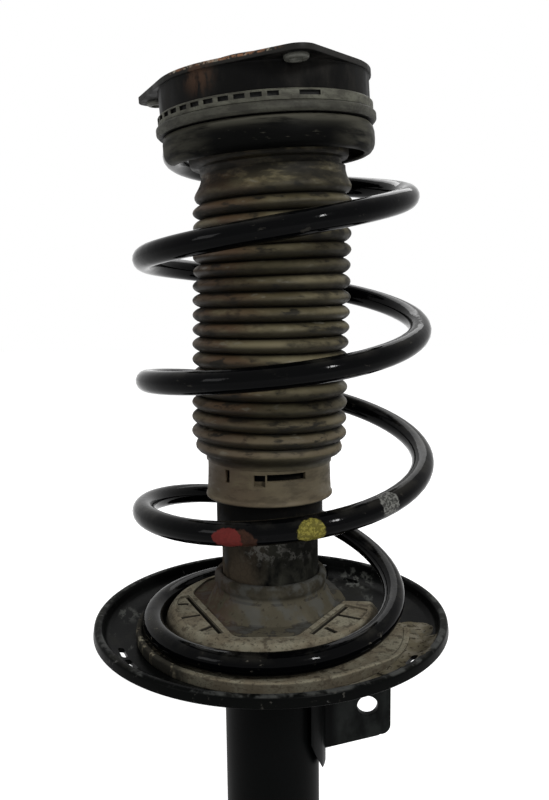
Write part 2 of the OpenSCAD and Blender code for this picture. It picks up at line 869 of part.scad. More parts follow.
// Pressed mount plate: three-lobed flange, skirt below with a recess for each nut's head, and a
// cup round the rod's end
module mount_plate() {
    color(black_paint)
    on_mount()
    difference() {
        union() {
            translate([0, 0, flange_bottom])
                linear_extrude(flange_h)
                union() {
                    circle(r = flange_disc_r);
                    for (a = bolt_azimuths)
                        lobe(a);
                }
            ring(skirt_r, skirt_r - skirt_wall, flange_bottom - skirt_bottom + cut, skirt_bottom);
            translate([0, 0, flange_bottom])
                cylinder(r = cup_r, h = cup_top - flange_bottom);
        }
        translate([0, 0, flange_bottom - cut])
            cylinder(r = cup_r - 2.6, h = cup_top - flange_bottom + cut - 2.6);
        translate([0, 0, cup_top - 2 * cut - 2.6])
            cylinder(r = cup_hole_r, h = 10);
        for (a = bolt_azimuths)
            rotate([0, 0, a])
            translate([bolt_circle_r, 0, flange_bottom - cut])
            cylinder(r = nut_barrel_r + fit_gap, h = flange_h + 2 * cut);
        for (a = bolt_azimuths)
            rotate([0, 0, a])
            translate([bolt_circle_r, 0, flange_bottom + nut_recess - nut_head_h - 0.4])
            cylinder(r = nut_head_r + 0.2, h = nut_head_h + 0.4);
    }
}

// Rubber bonded in the cup, with a ball-shaped pocket for the core
module mount_rubber() {
    color(dark_rubber)
    on_mount()
    difference() {
        rotate_extrude()
            polygon([
                [15, -5.5], [26, -6], [38, -2], [44, 3], [44, flange_bottom], [cup_r - 2.65, flange_bottom],
                [cup_r - 2.65, 14], [27, 14.5], [20, 7], [15, 6]
            ]);
        sphere(r = core_r + move_gap);
    }
}

// Captive nuts, one in each lobe of the flange
module captive_nuts() {
    color(olive_plastic)
    on_mount()
    for (a = bolt_azimuths)
        rotate([0, 0, a])
        translate([bolt_circle_r, 0, flange_bottom])
        difference() {
            union() {
                cylinder(r = nut_barrel_r, h = flange_h);
                translate([0, 0, nut_recess - nut_head_h])
                    cylinder(r = nut_head_r, h = nut_head_h);
            }
            translate([0, 0, -10])
                cylinder(r = nut_hole_r, h = 20);
        }
}

damper_tube();
base_cap();
base_valve();
pressure_tube();
rod_guide();
guide_bush();
oil_seal();
spring_dish();
link_bracket();
lower_pad();
bump_cap();
boot_collar();
dust_boot();
coil_spring();
piston_rod();
piston();
piston_band();
rebound_shims();
compression_shims();
piston_nut();
rebound_ring();
rebound_stop();
bump_stop();
lower_washer();
mount_core();
upper_washer();
rod_nut();
bearing_lower_ring();
bearing_cage();
bearing_balls();
upper_spring_seat();
bearing_upper_ring();
mount_plate();
mount_rubber();
captive_nuts();
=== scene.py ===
# %% [markdown]
# # A front suspension strut
# A strut holds a car's wheel up: a damper tube, a coil spring round it, a rubber boot that keeps
# dirt off the damper's rod, and a mount on top that bolts to the car. The solid model gives every
# piece its place and size, so this lesson loads it first and then dresses it: the pieces that
# show get finer shapes, and every piece gets a finish.

# %% Load the solid model
import json
import math
import bpy
from mathutils import Matrix, Vector, noise

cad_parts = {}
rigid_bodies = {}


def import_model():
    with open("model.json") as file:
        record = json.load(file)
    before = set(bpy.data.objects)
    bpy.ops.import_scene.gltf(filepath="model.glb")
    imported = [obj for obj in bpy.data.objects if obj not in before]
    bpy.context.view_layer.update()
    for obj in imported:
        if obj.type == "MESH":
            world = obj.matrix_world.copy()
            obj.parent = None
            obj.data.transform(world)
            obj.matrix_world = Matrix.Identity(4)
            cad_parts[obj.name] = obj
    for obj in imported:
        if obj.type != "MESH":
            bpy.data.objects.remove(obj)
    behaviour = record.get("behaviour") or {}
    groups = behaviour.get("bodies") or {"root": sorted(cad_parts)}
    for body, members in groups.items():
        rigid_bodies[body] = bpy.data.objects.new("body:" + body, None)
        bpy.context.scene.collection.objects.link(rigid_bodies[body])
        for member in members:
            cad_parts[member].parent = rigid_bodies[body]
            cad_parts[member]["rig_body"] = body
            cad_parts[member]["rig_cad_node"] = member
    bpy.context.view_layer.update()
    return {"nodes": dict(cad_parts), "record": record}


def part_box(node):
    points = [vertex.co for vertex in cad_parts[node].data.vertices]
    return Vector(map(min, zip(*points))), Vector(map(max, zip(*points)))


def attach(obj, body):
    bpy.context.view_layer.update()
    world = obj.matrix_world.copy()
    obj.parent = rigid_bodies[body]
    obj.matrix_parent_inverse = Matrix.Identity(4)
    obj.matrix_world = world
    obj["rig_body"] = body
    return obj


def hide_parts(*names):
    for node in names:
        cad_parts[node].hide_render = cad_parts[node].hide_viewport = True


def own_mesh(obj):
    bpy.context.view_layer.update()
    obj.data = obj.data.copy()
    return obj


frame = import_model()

nodes = frame["nodes"]

# %% [markdown]
# ## Sizes that many pieces share
# Lengths below are in millimetres, because that is how such parts are drawn, and MM turns them
# into Blender's metres. Heights of the spring, boot and dish are counted from the dish's floor.
# The top mount leans, so its pieces are made upright round the point where its axis crosses the
# rod's axis, and `on_mount` then leans them.

# %% Shared sizes
MM = 0.001
DISH_FLOOR = 205
MOUNT_POINT = Vector((0, 0, 497))
MOUNT_LEAN = math.radians(4.7)
LEAN_DIRECTION = math.radians(217.6)
on_mount = (
    Matrix.Translation(MOUNT_POINT * MM)
    @ Matrix.Rotation(LEAN_DIRECTION, 4, "Z")
    @ Matrix.Rotation(MOUNT_LEAN, 4, "Y")
    @ Matrix.Rotation(-LEAN_DIRECTION, 4, "Z")
)
print("the mount leans", round(math.degrees(MOUNT_LEAN), 1), "degrees")

# %% [markdown]
# ## The camera
# It looks at the strut from the front and a little above, with a lens of normal length. It is
# set first, so that every later step can be looked at from there.

# %% The camera
bpy.ops.object.camera_add(location=(0.00348, -0.42386, 0.39197))
camera = bpy.context.object
camera.name = "front_camera"
camera.rotation_mode = "QUATERNION"
camera.rotation_quaternion = (
    Matrix.Rotation(math.radians(90 - 7.32), 3, "X") @ Matrix.Rotation(math.radians(-0.683), 3, "Z")
).to_quaternion()
camera.data.sensor_fit = "VERTICAL"
camera.data.sensor_height = 36
camera.data.lens = 34.2
camera.data.clip_start = 0.01
camera.data.dof.use_dof = False
bpy.context.scene.camera = camera
bpy.context.scene.view_settings.view_transform = "Standard"
print("camera at", [round(x, 3) for x in camera.location])

# %% [markdown]
# ## Building a finish from nodes
# A finish is a Principled shader whose sockets are fed by patterns. These helpers add nodes to
# the finish that was begun last, by its `tree` and `shader`, and hand back an output, so that a
# finish reads like a recipe. Patterns follow Object coordinates. The spring and boot get squeezed
# when the strut moves, so they carry their own resting place as an attribute, and their patterns
# follow that. Heights and reaches in the recipes are in metres, from the strut's lower end and
# from its axis, as Blender's coordinates are. Other sizes are in millimetres.

# %% Helpers for finishes
finishes = {}


def new_finish(name, roughness=0.5, metallic=0.0, specular=0.5):
    finish = finishes[name] = bpy.data.materials.new(name)
    finish.use_nodes = True
    shader = finish.node_tree.nodes["Principled BSDF"]
    shader.inputs["Roughness"].default_value = roughness
    shader.inputs["Metallic"].default_value = metallic
    shader.inputs["Specular IOR Level"].default_value = specular
    return finish.node_tree, shader


def add(kind, inputs=(), **settings):
    """One node, with settings, and inputs that are numbers, colours or other nodes' outputs."""
    node = tree.nodes.new("ShaderNode" + kind)
    for key, value in settings.items():
        setattr(node, key, value)
    for key, value in dict(inputs).items():
        if isinstance(value, bpy.types.NodeSocket):
            tree.links.new(value, node.inputs[key])
        else:
            node.inputs[key].default_value = value
    return node


def place(resting=False):
    if resting:
        return add("Attribute", attribute_name="resting_place").outputs["Vector"]
    return add("TexCoord").outputs["Object"]


def part_of(where, axis):
    return add("SeparateXYZ", {"Vector": where}).outputs[axis]


def vector_calc(operation, a, b=(0, 0, 0)):
    output = "Vector" if operation in ("MULTIPLY", "SUBTRACT") else "Value"
    return add("VectorMath", {0: a, 1: b}, operation=operation).outputs[output]


def reach_of(where):
    """How far a place is from the Z axis."""
    return vector_calc("LENGTH", vector_calc("MULTIPLY", where, (1, 1, 0)))


def facing_up():
    return part_of(add("NewGeometry").outputs["Normal"], "Z")


def blotches(where, size, detail=5, stretch=(1, 1, 1)):
    """A cloudy pattern from 0 to 1, whose blotches are about size millimetres."""
    stretched = add("Mapping", {"Vector": where, "Scale": stretch}).outputs[0]
    return add("TexNoise", {"Vector": stretched, "Scale": 1 / (size * MM), "Detail": detail,
                            "Roughness": 0.6}).outputs["Fac"]


def between(value, low, high, to_low=0.0, to_high=1.0):
    """Value, where low becomes to_low and high becomes to_high, softly."""
    return add("MapRange", {"Value": value, "From Min": low, "From Max": high, "To Min": to_low,
                            "To Max": to_high}, interpolation_type="SMOOTHSTEP").outputs[0]


def calc(operation, a, b=0.0):
    return add("Math", {0: a, 1: b}, operation=operation).outputs[0]


def times(result, *factors):
    for factor in factors:
        result = calc("MULTIPLY", result, factor)
    return result


def most(result, *others):
    """The largest of the values."""
    for other in others:
        result = calc("MAXIMUM", result, other)
    return result


def over(under, top, *masks):
    """Colour top laid over colour under as far as the masks, multiplied, are 1."""
    under, top = [c if isinstance(c, bpy.types.NodeSocket) else (*c, 1) for c in (under, top)]
    return add("Mix", {0: times(*masks), 6: under, 7: top}, data_type="RGBA").outputs[2]


def near(where, point, inner, outer):
    """1 within inner millimetres of a point, fading to 0 at outer."""
    gap = vector_calc("DISTANCE", where, Vector(point) * MM)
    return between(gap, inner * MM, outer * MM, 1, 0)


def coat(colour, roughness=None):
    """Feed the shader its colour, and its roughness where that varies."""
    tree.links.new(colour, shader.inputs["Base Color"])
    if roughness is not None:
        tree.links.new(roughness, shader.inputs["Roughness"])


def relief(pattern, depth, strength):
    """Bumps of so many millimetres."""
    bump = add("Bump", {"Height": pattern, "Distance": depth * MM, "Strength": strength})
    tree.links.new(bump.outputs[0], shader.inputs["Normal"])


print("helpers for finishes are ready")

# %% [markdown]
# ## Spring paint
# The spring wears a thick, glossy black powder coat. Dust lies only where the wire faces up, and
# thickly on the lowest coil, which sits in the dish. Daubs of marking paint cross the front of the
# lowest free turn: red with brown beside it, yellow, and grey-white. The daubs are patches within
# a few millimetres of a point on the wire, with edges broken up by a blotchy pattern and cracks
# where the paint has come off.

# %% Spring paint
tree, shader = new_finish("spring_paint", specular=0.04)
where = place(resting=True)
fine = blotches(where, 2.5)
coarse = blotches(where, 18)
low = between(part_of(where, "Z"), 0.222, 0.236, 1, 0)
lying = times(between(facing_up(), 0.35, 0.95), between(coarse, 0.42, 0.68))
specks = between(blotches(where, 3, detail=9, stretch=(0.5, 0.5, 1)), 0.6, 0.66)
speckled = times(specks, between(coarse, 0.5, 0.62), calc("ADD", times(low, 0.5), 0.16))
dust = most(times(lying, 0.14), speckled)
colour = over((0.0008, 0.0009, 0.0011), (0.09, 0.084, 0.068), dust)
ragged = blotches(where, 3.5, detail=8)
cracked = between(blotches(where, 1.6, detail=8), 0.44, 0.54)
daubs = 0.0
for spot, size, tint, bare in (
    ((-12, -84, 283.5), (7.5, 6, 5), (0.030, 0.014, 0.009), 0.3),
    ((-19.5, -83, 283.5), (8, 6, 5.4), (0.10, 0.016, 0.014), 0.15),
    ((19.8, -86, 287.5), (7.4, 7, 6.5), (0.175, 0.155, 0.032), 0.5),
    ((57.5, -68, 295), (6.5, 6, 8), (0.13, 0.13, 0.12), 0.75),
):
    offset = vector_calc("SUBTRACT", where, Vector(spot) * MM)
    gap = vector_calc("LENGTH", vector_calc("MULTIPLY", offset, [1 / (w * MM) for w in size]))
    worn = calc("ADD", gap, times(ragged, 0.7))
    chips = calc("SUBTRACT", 1.0, times(cracked, bare))
    daub = times(between(worn, 1.22, 1.34, 0.9, 0), chips)
    colour = over(colour, tint, daub)
    daubs = most(daub, daubs)
matt = most(dust, times(daubs, 0.6), times(fine, 0.12))
coat(colour, between(matt, 0, 1, 0.07, 0.95))
relief(blotches(where, 7, detail=3), 0.22, 0.5)
print("spring paint with its daubs")

# %% [markdown]
# ## Boot rubber
# The boot is black rubber that has turned brown-grey with road dust. Dust sits on the crowns of its
# ribs and where they face up. The valleys and the ribs' undersides are left near-black as painted
# shade, which makes the tops read as lit. So the finish mixes by an attribute `crown` that the
# boot's own shape will carry. One side is browner, and black smudges and pale scrapes lie over it.

# %% Boot rubber
tree, shader = new_finish("boot_rubber", specular=0.12)
where = place(resting=True)
crown = add("Attribute", attribute_name="crown").outputs["Fac"]
cloud = blotches(where, 30, stretch=(1, 1, 2.2))
streak = blotches(where, 8, detail=7, stretch=(0.6, 0.6, 1.6))
sideways, height = part_of(where, "X"), part_of(where, "Z")
brown_side = times(between(sideways, 0.006, -0.020), between(cloud, 0.72, 0.46))
upward = between(facing_up(), -0.6, 0.65)
dusty = over((0.040, 0.033, 0.017), (0.106, 0.092, 0.054), between(cloud, 0.35, 0.68))
dusty = over(dusty, (0.048, 0.028, 0.015), brown_side, 0.9)
# Painted shade and light: the dust colour covers the rib crowns and upward faces, and near-black rubber
# stays in the valleys and on the ribs' undersides as shade.
cover = times(between(crown, 0.1, 0.85), calc("ADD", times(upward, 0.84), 0.16))
colour = over((0.0040, 0.0034, 0.0016), dusty, cover)
pale_foot = times(between(height, 0.345, 0.306), between(cover, 0.3, 0.8), 0.6)
colour = over(colour, (0.100, 0.080, 0.054), pale_foot)
smudge = times(between(streak, 0.49, 0.60), between(cloud, 0.64, 0.42), 0.92)
smudge = times(smudge, between(height, 0.306, 0.316, 0.35, 1))
dark_neck = times(between(height, 0.440, 0.458), between(streak, 0.36, 0.52), 0.85)
colour = over(colour, (0.006, 0.0055, 0.004), most(smudge, dark_neck))
scraped = times(between(streak, 0.40, 0.30), upward, 0.5)
colour = over(colour, (0.13, 0.125, 0.10), scraped)
coat(colour, between(streak, 0.3, 0.7, 0.46, 0.72))
relief(blotches(where, 1.6, detail=6), 0.12, 0.5)
print("boot rubber")

# %% [markdown]
# ## Pad rubber
# The pad under the spring has caught years of grit: beige-grey where it lies flat, black where
# the wire has rubbed or a wall stands upright. Its slots and the walls below its lands are
# painted near-black as shade.

# %% Pad rubber
tree, shader = new_finish("pad_rubber", specular=0.12)
where = place()
grit = blotches(where, 1.4, detail=8)
cloud = blotches(where, 15)
sideways, height = part_of(where, "X"), part_of(where, "Z")
reach = reach_of(where)
flat = between(facing_up(), 0.2, 0.9)
cover = times(calc("ADD", times(flat, 0.5), 0.5), between(cloud, 0.2, 0.42))
pale = over((0.125, 0.106, 0.073), (0.175, 0.162, 0.118), between(cloud, 0.4, 0.62))
colour = over((0.012, 0.010, 0.007), pale, cover)
colour = over(colour, (0.03, 0.025, 0.018), between(grit, 0.54, 0.66), 0.7)
rough_dirt = blotches(where, 5, detail=9, stretch=(1, 1, 2))
colour = over(colour, (0.045, 0.037, 0.026), between(rough_dirt, 0.52, 0.62), 0.75)
colour = over(colour, (0.20, 0.19, 0.15), between(rough_dirt, 0.36, 0.30), flat, 0.6)
# Painted shade: the slots and the walls below the lands, inside the opening, are coloured near-black.
painted_slot_shade = times(between(height, 0.2198, 0.2194), between(reach, 0.0560, 0.0555))
colour = over(colour, (0.014, 0.012, 0.009), painted_slot_shade, 0.95)
left_lip = times(between(height, 0.2125, 0.2115), between(sideways, -0.034, -0.050),
                 between(blotches(where, 6, detail=7, stretch=(1, 1, 0.3)), 0.40, 0.48))
colour = over(colour, (0.006, 0.006, 0.005), left_lip, 0.9)
coat(colour, between(cover, 0, 1, 0.6, 0.95))
relief(grit, 0.35, 0.8)
print("pad rubber")

# %% [markdown]
# ## Black paint on the dish, tube and bracket
# The pressed dish is painted black and scuffed. Beige dust is packed on its neck and platform,
# browner on one side, a grey film lies on its floor, and dried mud has run out towards the
# front right. The tube's upper part, under the boot, is dull with cracked dirt, and below the
# dish the paint is plain satin black.

# %% Dish and tube paint
tree, shader = new_finish("dish_paint", specular=0.012)
where = place()
sideways, height = part_of(where, "X"), part_of(where, "Z")
reach = reach_of(where)
cloud = blotches(where, 30)
patchy = blotches(where, 11, detail=7)
fleck = blotches(where, 3, detail=8)
scratch = blotches(where, 4, stretch=(0.35, 3.0, 1), detail=4)
flat = between(facing_up(), 0.55, 0.98)
film = times(flat, between(cloud, 0.48, 0.74), 0.3)
colour = over((0.0022, 0.0024, 0.0023), (0.045, 0.044, 0.036), film)
packed = times(between(reach, 0.0535, 0.0500), between(height, 0.212, 0.219))
packed = times(packed, between(patchy, 0.22, 0.36, 0.6, 1), between(height, 0.240, 0.228, 0.6, 1))
dust = over((0.036, 0.032, 0.023), (0.058, 0.052, 0.037), between(height, 0.2335, 0.2300))
dust = over(dust, (0.085, 0.077, 0.057), between(cloud, 0.45, 0.65), 0.7)
# Painted shade: dark bands at the cone's foot on the platform top and just under the ring's lower edge,
# broken by a patchy pattern. The flecks laid with them are dark dirt.
cone_foot_shade = times(between(height, 0.2190, 0.2196), between(height, 0.2210, 0.2204))
ring_foot_shade = times(between(height, 0.2292, 0.2296), between(height, 0.2310, 0.2304))
crease_shade = times(calc("ADD", cone_foot_shade, ring_foot_shade), between(patchy, 0.46, 0.52))
dark = most(times(between(fleck, 0.60, 0.68), 0.7), crease_shade)
dust = over(dust, (0.018, 0.015, 0.011), dark, 0.85)
dust = over(dust, (0.060, 0.034, 0.022),
            between(sideways, -0.012, -0.030), between(patchy, 0.4, 0.55), 0.9)
colour = over(colour, dust, packed)
mud_place = 0.0
for spot, inner, outer in (
    ((80, -10, 206), 7, 16), ((78, -28, 206), 10, 18), ((68, -48, 206), 12, 21), ((46, -72, 206), 9, 17),
):
    mud_place = most(near(where, spot, inner, outer), mud_place)
ragged = calc("ADD", mud_place, times(fleck, 0.9))
mud = times(between(ragged, 0.80, 0.90), between(facing_up(), 0.1, 0.5))
mud_tone = over((0.105, 0.092, 0.062), (0.165, 0.150, 0.115), between(patchy, 0.42, 0.6))
mud_tone = over(mud_tone, (0.045, 0.038, 0.027), between(fleck, 0.54, 0.62))
colour = over(colour, mud_tone, mud)
streaks = times(between(blotches(where, 9, detail=6, stretch=(1, 0.35, 1)), 0.6, 0.68), flat,
                between(reach, 0.052, 0.06), 0.45)
wiped = most(near(where, (54, 66, 206), 5, 20), near(where, (-84, 16, 208), 3, 15))
wiped = times(wiped, between(blotches(where, 5, detail=8, stretch=(1, 0.5, 1)), 0.50, 0.60), 0.75)
colour = over(colour, (0.085, 0.088, 0.08), most(streaks, wiped))
scuffs = times(between(scratch, 0.64, 0.72), between(cloud, 0.45, 0.58),
               between(reach, 0.055, 0.06), 0.6)
colour = over(colour, (0.10, 0.10, 0.095), scuffs)
bent_edge = times(between(height, 0.2140, 0.2148), between(patchy, 0.45, 0.60), 0.55)
colour = over(colour, (0.07, 0.072, 0.068), bent_edge)
worn = times(between(reach, 0.0985, 0.1), between(fleck, 0.60, 0.66), between(patchy, 0.5, 0.6), 0.6)
colour = over(colour, (0.05, 0.048, 0.042), worn)
coat(colour, between(most(film, mud, packed), 0, 0.6, 0.3, 0.9))
relief(fleck, 0.15, 0.5)

tree, shader = new_finish("tube_paint", specular=0.02)
where = place()
sideways, height = part_of(where, "X"), part_of(where, "Z")
above = between(height, 0.205, 0.225)
crack = add("TexVoronoi", {"Vector": where, "Scale": 260}, feature="DISTANCE_TO_EDGE")
flake = between(crack.outputs["Distance"], 0.02, 0.12)
cloud = blotches(where, 14, stretch=(1, 1, 0.6))
lower = between(height, 0.262, 0.244, 0.45, 1)
dirt = times(above, lower, between(cloud, 0.3, 0.55), calc("ADD", times(flake, 0.15), 0.85))
grime = over((0.048, 0.038, 0.027), (0.030, 0.030, 0.024), between(sideways, -0.014, 0.004))
colour = over((0.0016, 0.0018, 0.0018), grime, dirt)
flaking = blotches(where, 5, detail=10)
chipped = times(between(height, 0.248, 0.255), between(sideways, -0.018, -0.008),
                between(flaking, 0.50, 0.56), between(blotches(where, 1.5, detail=6), 0.62, 0.5))
colour = over(colour, (0.080, 0.078, 0.071), chipped, 0.7)
black_patch = times(between(sideways, 0.004, 0.012), between(cloud, 0.42, 0.52), above, 0.8)
colour = over(colour, (0.003, 0.003, 0.0028), black_patch)
film = times(between(sideways, 0.034, 0.040), between(cloud, 0.3, 0.6), 0.6)
colour = over(colour, (0.017, 0.019, 0.018), film)
coat(colour, between(dirt, 0, 0.8, 0.42, 0.85))
relief(blotches(where, 2, detail=6), 0.08, 0.5)
print("dish and tube paint")

# %% [markdown]
# ## Mount paint, plastic and plating
# The top mount is black steel whose upper edge is rubbed to a fine line of bright metal and
# rust, with one faint brown patch on its skirt. The two bearing rings are olive-grey plastic
# under a film of dust. The lower ring is painted darker as shade under the upper ring, and
# inside their slots they are painted near-black as shade. The captive nuts are plated the same
# drab colour. The mount leans, so its wear and the slots' shade are placed by `leant_place`.

# %% Mount paint, plastic and plating
def leant_place(where):
    """The place as seen from the mount, whose own leaning axis is then Z."""
    return add("Mapping", {"Vector": where, "Rotation": on_mount.to_euler(),
                           "Location": MOUNT_POINT * MM}, vector_type="TEXTURE").outputs[0]


tree, shader = new_finish("mount_paint", specular=0.04)
where = place()
leant = leant_place(where)
sideways, height, reach = part_of(leant, "X"), part_of(leant, "Z"), reach_of(leant)
cloud = blotches(where, 12, stretch=(1, 1, 0.5))
fleck = blotches(where, 1.3, detail=8)
colour = over((0.0022, 0.0022, 0.0021), (0.012, 0.0112, 0.0100), between(cloud, 0.44, 0.72))
edge = times(between(height, 0.0086, 0.0094), between(reach, 0.0564, 0.0570))
colour = over(colour, (0.018, 0.0175, 0.016), edge, 0.7)
line = times(between(height, 0.0101, 0.0108), between(reach, 0.0564, 0.0570),
             between(sideways, -0.047, -0.042), between(sideways, 0.012, -0.002))
speck = times(line, between(fleck, 0.44, 0.52))
rust = over((0.34, 0.30, 0.24), (0.20, 0.10, 0.055), between(blotches(where, 6), 0.42, 0.55))
colour = over(colour, rust, speck, 0.85)
smear = blotches(where, 7, detail=7, stretch=(1, 1, 0.45))
patch = times(near(where, (-31, -46, 500), 2, 13), between(smear, 0.40, 0.54))
colour = over(colour, (0.062, 0.035, 0.022), patch, 0.65)
coat(colour, between(cloud, 0.3, 0.7, 0.36, 0.66))
relief(fleck, 0.1, 0.4)

tree, shader = new_finish("bearing_plastic", specular=0.12)
where = place()
cloud = blotches(where, 10, stretch=(1, 1, 3))
fleck = blotches(where, 1.2, detail=8)
colour = over((0.034, 0.033, 0.026), (0.078, 0.078, 0.061), between(cloud, 0.35, 0.65))
# Painted shade: the lower ring, below the upper ring and the flange, is coloured darker than the upper
# one.
level = vector_calc("DOT_PRODUCT", where, (-0.0649, -0.05, 1))
lower_ring = between(level, 0.4872, 0.4878, 0.5, 0)
colour = over(colour, (0.010, 0.0095, 0.008), lower_ring)
colour = over(colour, (0.02, 0.019, 0.016), between(fleck, 0.55, 0.66), 0.5)
# Painted shade: inside the slots the plastic is coloured near-black.
leant = leant_place(where)
bearing_slot_shade = times(between(reach_of(leant), 0.0572, 0.0569),
                between(part_of(leant, "Z"), -0.0049, -0.0052))
colour = over(colour, (0.002, 0.002, 0.0018), bearing_slot_shade)
coat(colour, between(fleck, 0.3, 0.7, 0.5, 0.75))
relief(fleck, 0.05, 0.5)

tree, shader = new_finish("nut_plating", metallic=0.35)
cloud = blotches(place(), 3, detail=6)
coat(over((0.05, 0.05, 0.042), (0.095, 0.095, 0.08), cloud), between(cloud, 0.3, 0.7, 0.45, 0.7))
print("mount paint, bearing plastic and nut plating")

# %% [markdown]
# ## Black rubber, cap plastic and foam
# The upper spring seat and the hidden rubber pieces are black rubber with a bloom of grey dust
# on their shoulders and towards the sides. The bump cap is moulded plastic, and the bump stop is
# cream foam full of tiny cells.

# %% Rubber, plastic and foam
tree, shader = new_finish("seal_rubber", specular=0.02)
where = place()
cloud = blotches(where, 20, stretch=(1, 1, 2))
fleck = blotches(where, 2.2, detail=8)
ends = between(calc("ABSOLUTE", calc("SUBTRACT", part_of(where, "X"), 0.004)), 0.026, 0.048)
streaky = blotches(where, 12, detail=6, stretch=(0.5, 0.5, 3.0))
lying = times(between(facing_up(), -0.05, 0.55), between(streaky, 0.28, 0.52))
bloom = most(times(lying, 0.85), times(ends, between(streaky, 0.30, 0.66), 0.7))
streak = times(between(blotches(where, 3, detail=8, stretch=(0.5, 0.5, 2)), 0.62, 0.68), 0.3)
colour = over((0.0016, 0.0017, 0.0016), (0.058, 0.056, 0.044), most(bloom, streak))
coat(colour, between(cloud, 0.3, 0.7, 0.36, 0.6))
relief(fleck, 0.1, 0.5)

tree, shader = new_finish("cap_plastic", specular=0.015)
where = place()
cloud = blotches(where, 9)
colour = over((0.0016, 0.0016, 0.0015), (0.009, 0.008, 0.006), between(cloud, 0.48, 0.74))
coat(colour, between(cloud, 0.3, 0.7, 0.42, 0.75))
relief(blotches(where, 2, detail=6), 0.08, 0.5)

tree, shader = new_finish("foam", roughness=0.9, specular=0.2)
where = place()
cells = add("TexVoronoi", {"Vector": where, "Scale": 900}).outputs["Distance"]
coat(over((0.50, 0.43, 0.26), (0.68, 0.61, 0.42), blotches(where, 8)))
relief(cells, 0.2, 0.7)
print("rubber, plastic and foam")

# %% [markdown]
# ## Metals
# Inside the damper are machined steel with fine turning marks, a hard-chromed rod, a bronze bush
# and a painted base cap. They hardly show, but a strut that is taken apart shows them.
# Turning marks run round the axis, so the pattern is squeezed tightly along Z.

# %% Metals
tree, shader = new_finish("machined_steel", metallic=1.0)
marks = blotches(place(), 6, detail=3, stretch=(0.2, 0.2, 14))
tone = over((0.20, 0.20, 0.20), (0.34, 0.345, 0.35), marks)
coat(tone, between(marks, 0.3, 0.7, 0.36, 0.58))
relief(marks, 0.02, 0.4)

tree, shader = new_finish("rod_chrome", metallic=1.0)
haze = blotches(place(), 30)
coat(over((0.68, 0.69, 0.71), (0.76, 0.77, 0.79), haze), between(haze, 0.3, 0.7, 0.07, 0.16))

tree, shader = new_finish("bronze", metallic=1.0)
pores = blotches(place(), 0.8, detail=4)
coat(over((0.42, 0.27, 0.11), (0.60, 0.42, 0.20), pores), between(pores, 0.3, 0.7, 0.32, 0.55))

tree, shader = new_finish("dark_steel", specular=0.3)
cloud = blotches(place(), 9)
coat(over((0.02, 0.02, 0.02), (0.055, 0.052, 0.048), cloud), between(cloud, 0.3, 0.7, 0.5, 0.75))

for part in frame["record"]["subparts"]:
    solid = nodes[part["node"]]
    solid.data.materials.clear()
    solid.data.materials.append(finishes[part["material_slot"]])
print(len(finishes), "finishes on", len(nodes), "solids")

# %% [markdown]
# ## Turning a piece on a lathe
# Most of a strut is round, so most pieces are an outline turned about an axis. As by hand, the
# outline is traced by extruding one vertex from point to point, and Spin carries it round.
# Pressed and moulded edges are never sharp, so `soften` first rounds the outline's corners.

# %% Helpers for turned pieces
def deselect_all():
    if bpy.context.object and bpy.context.object.mode != "OBJECT":
        bpy.ops.object.mode_set(mode="OBJECT")
    bpy.ops.object.select_all(action="DESELECT")


def select_only(*pieces):
    """Select the pieces, and make the first one active."""
    deselect_all()
    for piece in pieces:
        piece.select_set(True)
    bpy.context.view_layer.objects.active = pieces[0]


def weld_points(threshold):
    """In edit mode: join points closer than so many metres, with all left selected."""
    bpy.ops.mesh.select_all(action="SELECT")
    bpy.ops.mesh.remove_doubles(threshold=threshold)
    bpy.ops.mesh.select_all(action="SELECT")


def on_circle(radius, degrees, x=0, y=0):
    """The point of a circle round x, y."""
    a = math.radians(degrees)
    return x + radius * math.cos(a), y + radius * math.sin(a)


def rectangle(left, low, right, high):
    return [(left, low), (right, low), (right, high), (left, high)]


def turn_by(degrees):
    return Matrix.Rotation(math.radians(degrees), 4, "Z")


def shift_by(x, y=0, z=0):
    return Matrix.Translation((x * MM, y * MM, z * MM))


def soften(outline, radius, steps=3):
    """A closed outline with each corner rounded, or as much of it as its sides leave room for."""
    soft = []
    for i, corner in enumerate(outline):
        corner = Vector(corner)
        back = Vector(outline[i - 1]) - corner
        ahead = Vector(outline[(i + 1) % len(outline)]) - corner
        size = min(radius, 0.45 * back.length, 0.45 * ahead.length)
        start, end = corner + back.normalized() * size, corner + ahead.normalized() * size
        for k in range(steps + 1):
            t = k / steps
            soft.append(start * (1 - t) ** 2 + corner * 2 * t * (1 - t) + end * t * t)
    return soft


def traced(name, outline, flat=False):
    """A closed line through points, upright in XZ or flat in XY, left in edit mode."""
    deselect_all()
    bpy.ops.mesh.primitive_plane_add(size=0.001)
    piece = bpy.context.object
    piece.name = piece.data.name = name
    bpy.ops.object.mode_set(mode="EDIT")
    bpy.ops.mesh.merge(type="CENTER")
    here = Vector((0, 0))
    for i, point in enumerate([*outline, outline[0]]):
        step = (Vector(point) - here) * MM
        move = (step.x, step.y, 0) if flat else (step.x, 0, step.y)
        if i == 0:
            bpy.ops.transform.translate(value=move)
        else:
            bpy.ops.mesh.extrude_region_move(TRANSFORM_OT_translate={"value": move})
        here = Vector(point)
    weld_points(1e-6)
    return piece


def turned(name, outline, steps=96, lift=0.0):
    """The outline, spun about Z, then lifted by so many millimetres."""
    piece = traced(name, outline)
    bpy.ops.mesh.spin(steps=steps, angle=2 * math.pi, center=(0, 0, 0), axis=(0, 0, 1))
    weld_points(2e-6)
    bpy.ops.mesh.normals_make_consistent(inside=False)
    bpy.ops.transform.translate(value=(0, 0, lift * MM))
    bpy.ops.object.mode_set(mode="OBJECT")
    return piece


